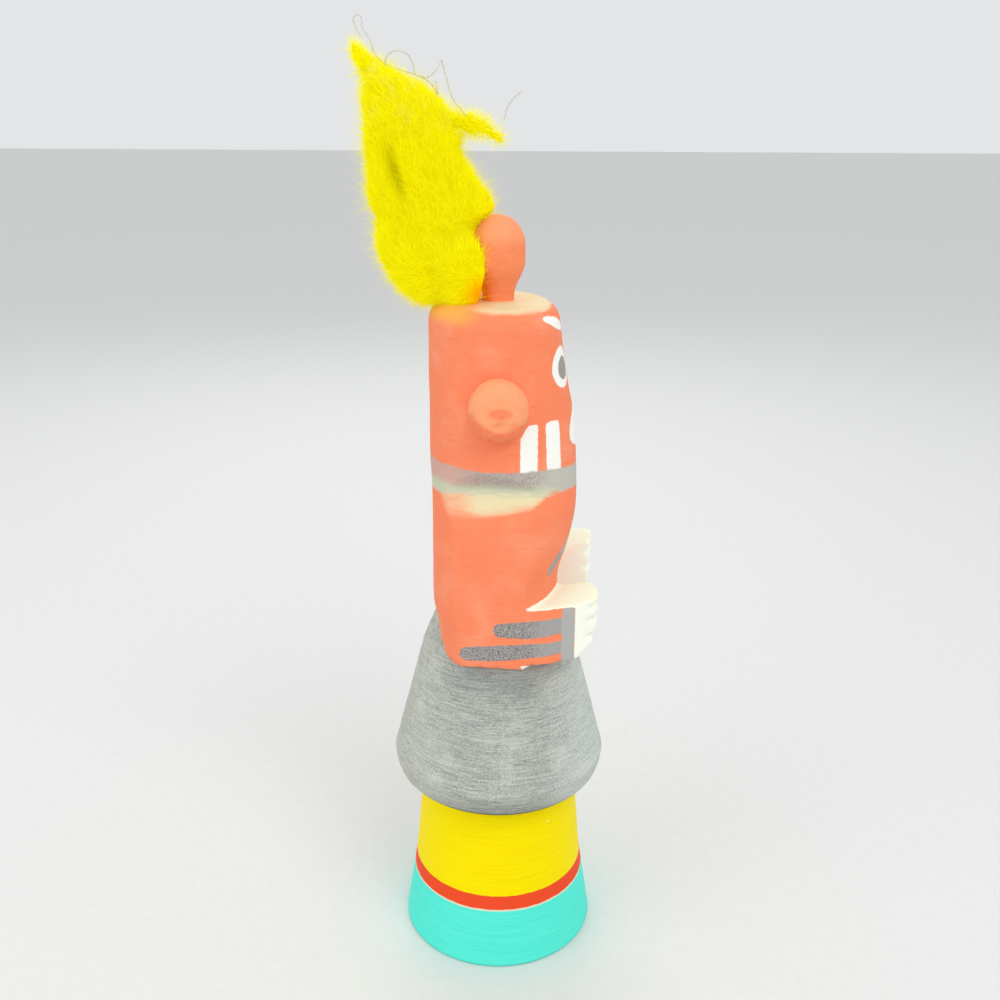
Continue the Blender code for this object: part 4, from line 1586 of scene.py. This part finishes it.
        spin = add(tree, "FunctionNodeRandomValue", {2: 0.0, 3: 2 * math.pi, "Seed": 5},
                   data_type="FLOAT").outputs[1]
        spun = add(tree, "FunctionNodeAxisAngleToRotation",
                   {"Axis": (0, 0, 1), "Angle": spin}).outputs[0]
        turn = add(tree, "FunctionNodeRotateRotation", {0: aim, 1: spun},
                   rotation_space="LOCAL").outputs[0]
        share = add(tree, "FunctionNodeRandomValue", {2: 0.45, 3: 1.25, "Seed": 9},
                    data_type="FLOAT").outputs[1]
        length = add(tree, "ShaderNodeMath", {0: given["Length"], 1: share},
                     operation="MULTIPLY").outputs[0]
        scale = add(tree, "ShaderNodeCombineXYZ", {0: given["Width"], 1: given["Width"],
                                                   2: length}).outputs[0]
        cone = add(tree, "GeometryNodeMeshCone", {"Vertices": 3, "Side Segments": kind.segments,
                                                  "Radius Top": 0.0, "Radius Bottom": 0.5,
                                                  "Depth": 1.0}, fill_type="NGON")
        place = add(tree, "GeometryNodeInputPosition").outputs[0]
        rise = add(tree, "ShaderNodeSeparateXYZ", {0: place}).outputs["Z"]
        curve = add(tree, "ShaderNodeMath", {0: rise, 1: 2.0}, operation="POWER").outputs[0]
        sideways = add(tree, "ShaderNodeMath", {0: given["Length"], 1: given["Bend"]},
                       operation="MULTIPLY").outputs[0]
        sideways = add(tree, "ShaderNodeMath", {0: sideways, 1: given["Width"]},
                       operation="DIVIDE").outputs[0]
        sideways = add(tree, "ShaderNodeMath", {0: curve, 1: sideways},
                       operation="MULTIPLY").outputs[0]
        offset = add(tree, "ShaderNodeCombineXYZ", {0: sideways}).outputs[0]
        bent = add(tree, "GeometryNodeSetPosition", {"Geometry": cone.outputs["Mesh"],
                                                     "Offset": offset}).outputs[0]
        marked = add(tree, "GeometryNodeStoreNamedAttribute",
                     {"Geometry": bent, "Name": "along", "Value": rise}, data_type="FLOAT",
                     domain="POINT").outputs[0]
        placed = add(tree, "GeometryNodeInstanceOnPoints",
                     {"Points": points.outputs["Points"], "Instance": marked, "Rotation": turn,
                      "Scale": scale}).outputs[0]
        tone = add(tree, "FunctionNodeRandomValue", {2: 0.0, 3: 1.0, "Seed": 13},
                   data_type="FLOAT").outputs[1]
        toned = add(tree, "GeometryNodeStoreNamedAttribute",
                    {"Geometry": placed, "Name": "tone", "Value": tone}, data_type="FLOAT",
                    domain="INSTANCE").outputs[0]
        real = add(tree, "GeometryNodeRealizeInstances", {"Geometry": toned}).outputs[0]
        painted = add(tree, "GeometryNodeSetMaterial",
                      {"Geometry": real, "Material": material}).outputs[0]
        add(tree, "NodeGroupOutput", {0: painted})
        return tree

    def grow(self, heart: Piece, kind: Barbs, material: Material) -> Piece:
        """Grow one kind of barb on the heart and bake it to a plain mesh.

        Args:
            heart: The plume's heart, with its combing stored on it.
            kind: The kind of barb.
            material: The barbs' material.

        Returns:
            The barbs.
        """
        piece = new_object(kind.name, heart.data.copy())
        sizes = kind.sizes(sum(face.area for face in heart.data.polygons))
        bake_nodes(piece, self.barb_tree(kind, material), sizes)
        return piece

    def threads(self) -> Piece:
        """Stray white threads that curl off the top of the plume."""
        mesh = bpy.data.meshes.new("plume_threads")
        points, edges = [], []
        for path in self.thread_paths:
            start = len(points)
            points += [(self.thread_sway * math.sin(0.9 * k + start) * MM, y * MM, z * MM)
                       for k, (y, z) in enumerate(path)]
            edges += [(start + k, start + k + 1) for k in range(len(path) - 1)]
        mesh.from_pydata(points, edges, [])
        piece = new_object("plume_threads", mesh)
        bake_nodes(piece, self.thread_tree(), {"Radius": self.thread_radius * MM})
        return piece

    def thread_tree(self) -> Tree:
        """Nodes that turn bare lines into smooth round threads."""
        material = PlainFinish("white_cotton_thread", "DCDAD0", "C8C6BC", 0.4, 0.8).build()
        tree = bpy.data.node_groups.new("thread", "GeometryNodeTree")
        tree.interface.new_socket("Lines", in_out="INPUT", socket_type="NodeSocketGeometry")
        tree.interface.new_socket("Radius", in_out="INPUT", socket_type="NodeSocketFloat")
        tree.interface.new_socket("Threads", in_out="OUTPUT", socket_type="NodeSocketGeometry")
        given = add(tree, "NodeGroupInput").outputs
        curve = add(tree, "GeometryNodeMeshToCurve", {"Mesh": given["Lines"]}).outputs[0]
        smooth = add(tree, "GeometryNodeCurveSplineType", {"Curve": curve},
                     spline_type="CATMULL_ROM").outputs[0]
        fine = add(tree, "GeometryNodeResampleCurve",
                   {"Curve": smooth, "Length": self.thread_step * MM}, mode="LENGTH").outputs[0]
        ring = add(tree, "GeometryNodeCurvePrimitiveCircle",
                   {"Resolution": self.thread_sides, "Radius": given["Radius"]}).outputs[0]
        tube = add(tree, "GeometryNodeCurveToMesh", {"Curve": fine, "Profile Curve": ring,
                                                     "Fill Caps": True}).outputs[0]
        real = add(tree, "GeometryNodeRealizeInstances", {"Geometry": tube}).outputs[0]
        painted = add(tree, "GeometryNodeSetMaterial",
                      {"Geometry": real, "Material": material}).outputs[0]
        add(tree, "NodeGroupOutput", {0: painted})
        return tree


def bake_nodes(piece: Piece, tree: Tree, sizes: dict[str, float]) -> None:
    """Run a Geometry Nodes tree on a piece, and keep the result as a plain mesh.

    Args:
        piece: The piece that the tree starts from.
        tree: The tree.
        sizes: A value for each of the tree's inputs, by its name.
    """
    modifier = piece.modifiers.new(tree.name, "NODES")
    modifier.node_group = tree
    for item in tree.interface.items_tree:
        if item.in_out == "INPUT" and item.name in sizes:
            modifier[item.identifier] = sizes[item.name]
    apply_modifiers(piece)


# --- Studio -------------------------------------------------------------------------------------


@dataclass
class Studio:
    """Pale floor, soft light and the camera."""

    camera_place: Triple = (-230.0, 0.0, 189.06)
    camera_pitch: float = 19.34
    camera_roll: float = -0.3
    lens: float = 39.6
    sensor: float = 36.0
    floor_half: float = 6000.0
    lamps: tuple[tuple[str, Triple, float, float], ...] = (
        ("key", (-420, -240, 620), 420, 1.5), ("fill", (-300, 420, 360), 480, 0.6),
        ("rim", (500, 60, 520), 480, 0.9))
    world_colour: str = "F4F6F8"
    world_strength: float = 0.85

    def build(self) -> None:
        """Set up the whole studio."""
        self.floor()
        self.light()
        self.camera()
        bpy.context.scene.view_settings.view_transform = "Standard"

    def floor(self) -> None:
        """A plain pale floor."""
        mesh = bpy.data.meshes.new("studio_floor")
        edge = self.floor_half * MM
        mesh.from_pydata([(-edge, -edge, 0), (edge, -edge, 0), (edge, edge, 0), (-edge, edge, 0)],
                         [], [(0, 1, 2, 3)])
        mesh.materials.append(PlainFinish("studio_paper", "E2E2E0", "E0E0DE", 3.0, 0.9,
                                          0.01).build())
        new_object("studio_floor", mesh)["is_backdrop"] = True

    def light(self) -> None:
        """Soft light from above the doll's right side, and even light all round."""
        world = bpy.data.worlds.new("studio")
        bpy.context.scene.world = world
        world.use_nodes = True
        background = world.node_tree.nodes["Background"]
        background.inputs["Color"].default_value = linear(self.world_colour)
        background.inputs["Strength"].default_value = self.world_strength
        for name, place, size, watts in self.lamps:
            lamp = bpy.data.lights.new(name, "AREA")
            lamp.shape = "DISK"
            lamp.size = size * MM
            lamp.energy = watts
            holder = bpy.data.objects.new(name, lamp)
            bpy.context.scene.collection.objects.link(holder)
            spot = Vector(place) * MM
            holder.location = spot
            holder.rotation_euler = (Vector((0, 0, 0.1)) - spot).to_track_quat("-Z", "Y").to_euler()

    def camera(self) -> None:
        """The camera, level with the doll's crown and looking slightly down."""
        data = bpy.data.cameras.new("camera")
        data.lens = self.lens
        data.sensor_width = self.sensor
        data.clip_start = 0.001
        holder = bpy.data.objects.new("camera", data)
        bpy.context.scene.collection.objects.link(holder)
        holder.location = Vector(self.camera_place) * MM
        tilt = Euler((math.radians(90 - self.camera_pitch), 0, math.radians(-90))).to_quaternion()
        roll = Quaternion(tilt @ Vector((0, 0, -1)), math.radians(self.camera_roll))
        holder.rotation_mode = "QUATERNION"
        holder.rotation_quaternion = roll @ tilt
        bpy.context.scene.camera = holder


# --- Assembly -----------------------------------------------------------------------------------


def corners() -> list[list[float]]:
    """The object's box as plain lists."""
    return [[float(c) for c in corner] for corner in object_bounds()]


def install(piece: Piece, slot: str, *nodes: str) -> None:
    """Let a finished piece ride on the doll.

    Args:
        piece: The finished piece.
        slot: Name of its paint slot; not used.
        nodes: The frame nodes that it stands for, if any.
    """
    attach(piece, "root")
    if nodes:
        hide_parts(*nodes)
    LOG.info("%s: %d faces", piece.name, len(piece.data.polygons))


def main() -> None:
    """Build the doll and its studio."""
    logging.basicConfig(level=logging.INFO, format="%(name)s %(message)s")
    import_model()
    Studio().build()
    install(WoodenBody().build(), "painted_wood", "body")
    for place in KnobPlace:
        install(Knob(place).build(), "painted_knob", place.value)
    for piece in Plume().build():
        install(piece, "dyed_fluff", *(("plume",) if piece.name == "plume_heart" else ()))


if __name__ == "__main__":
    main()
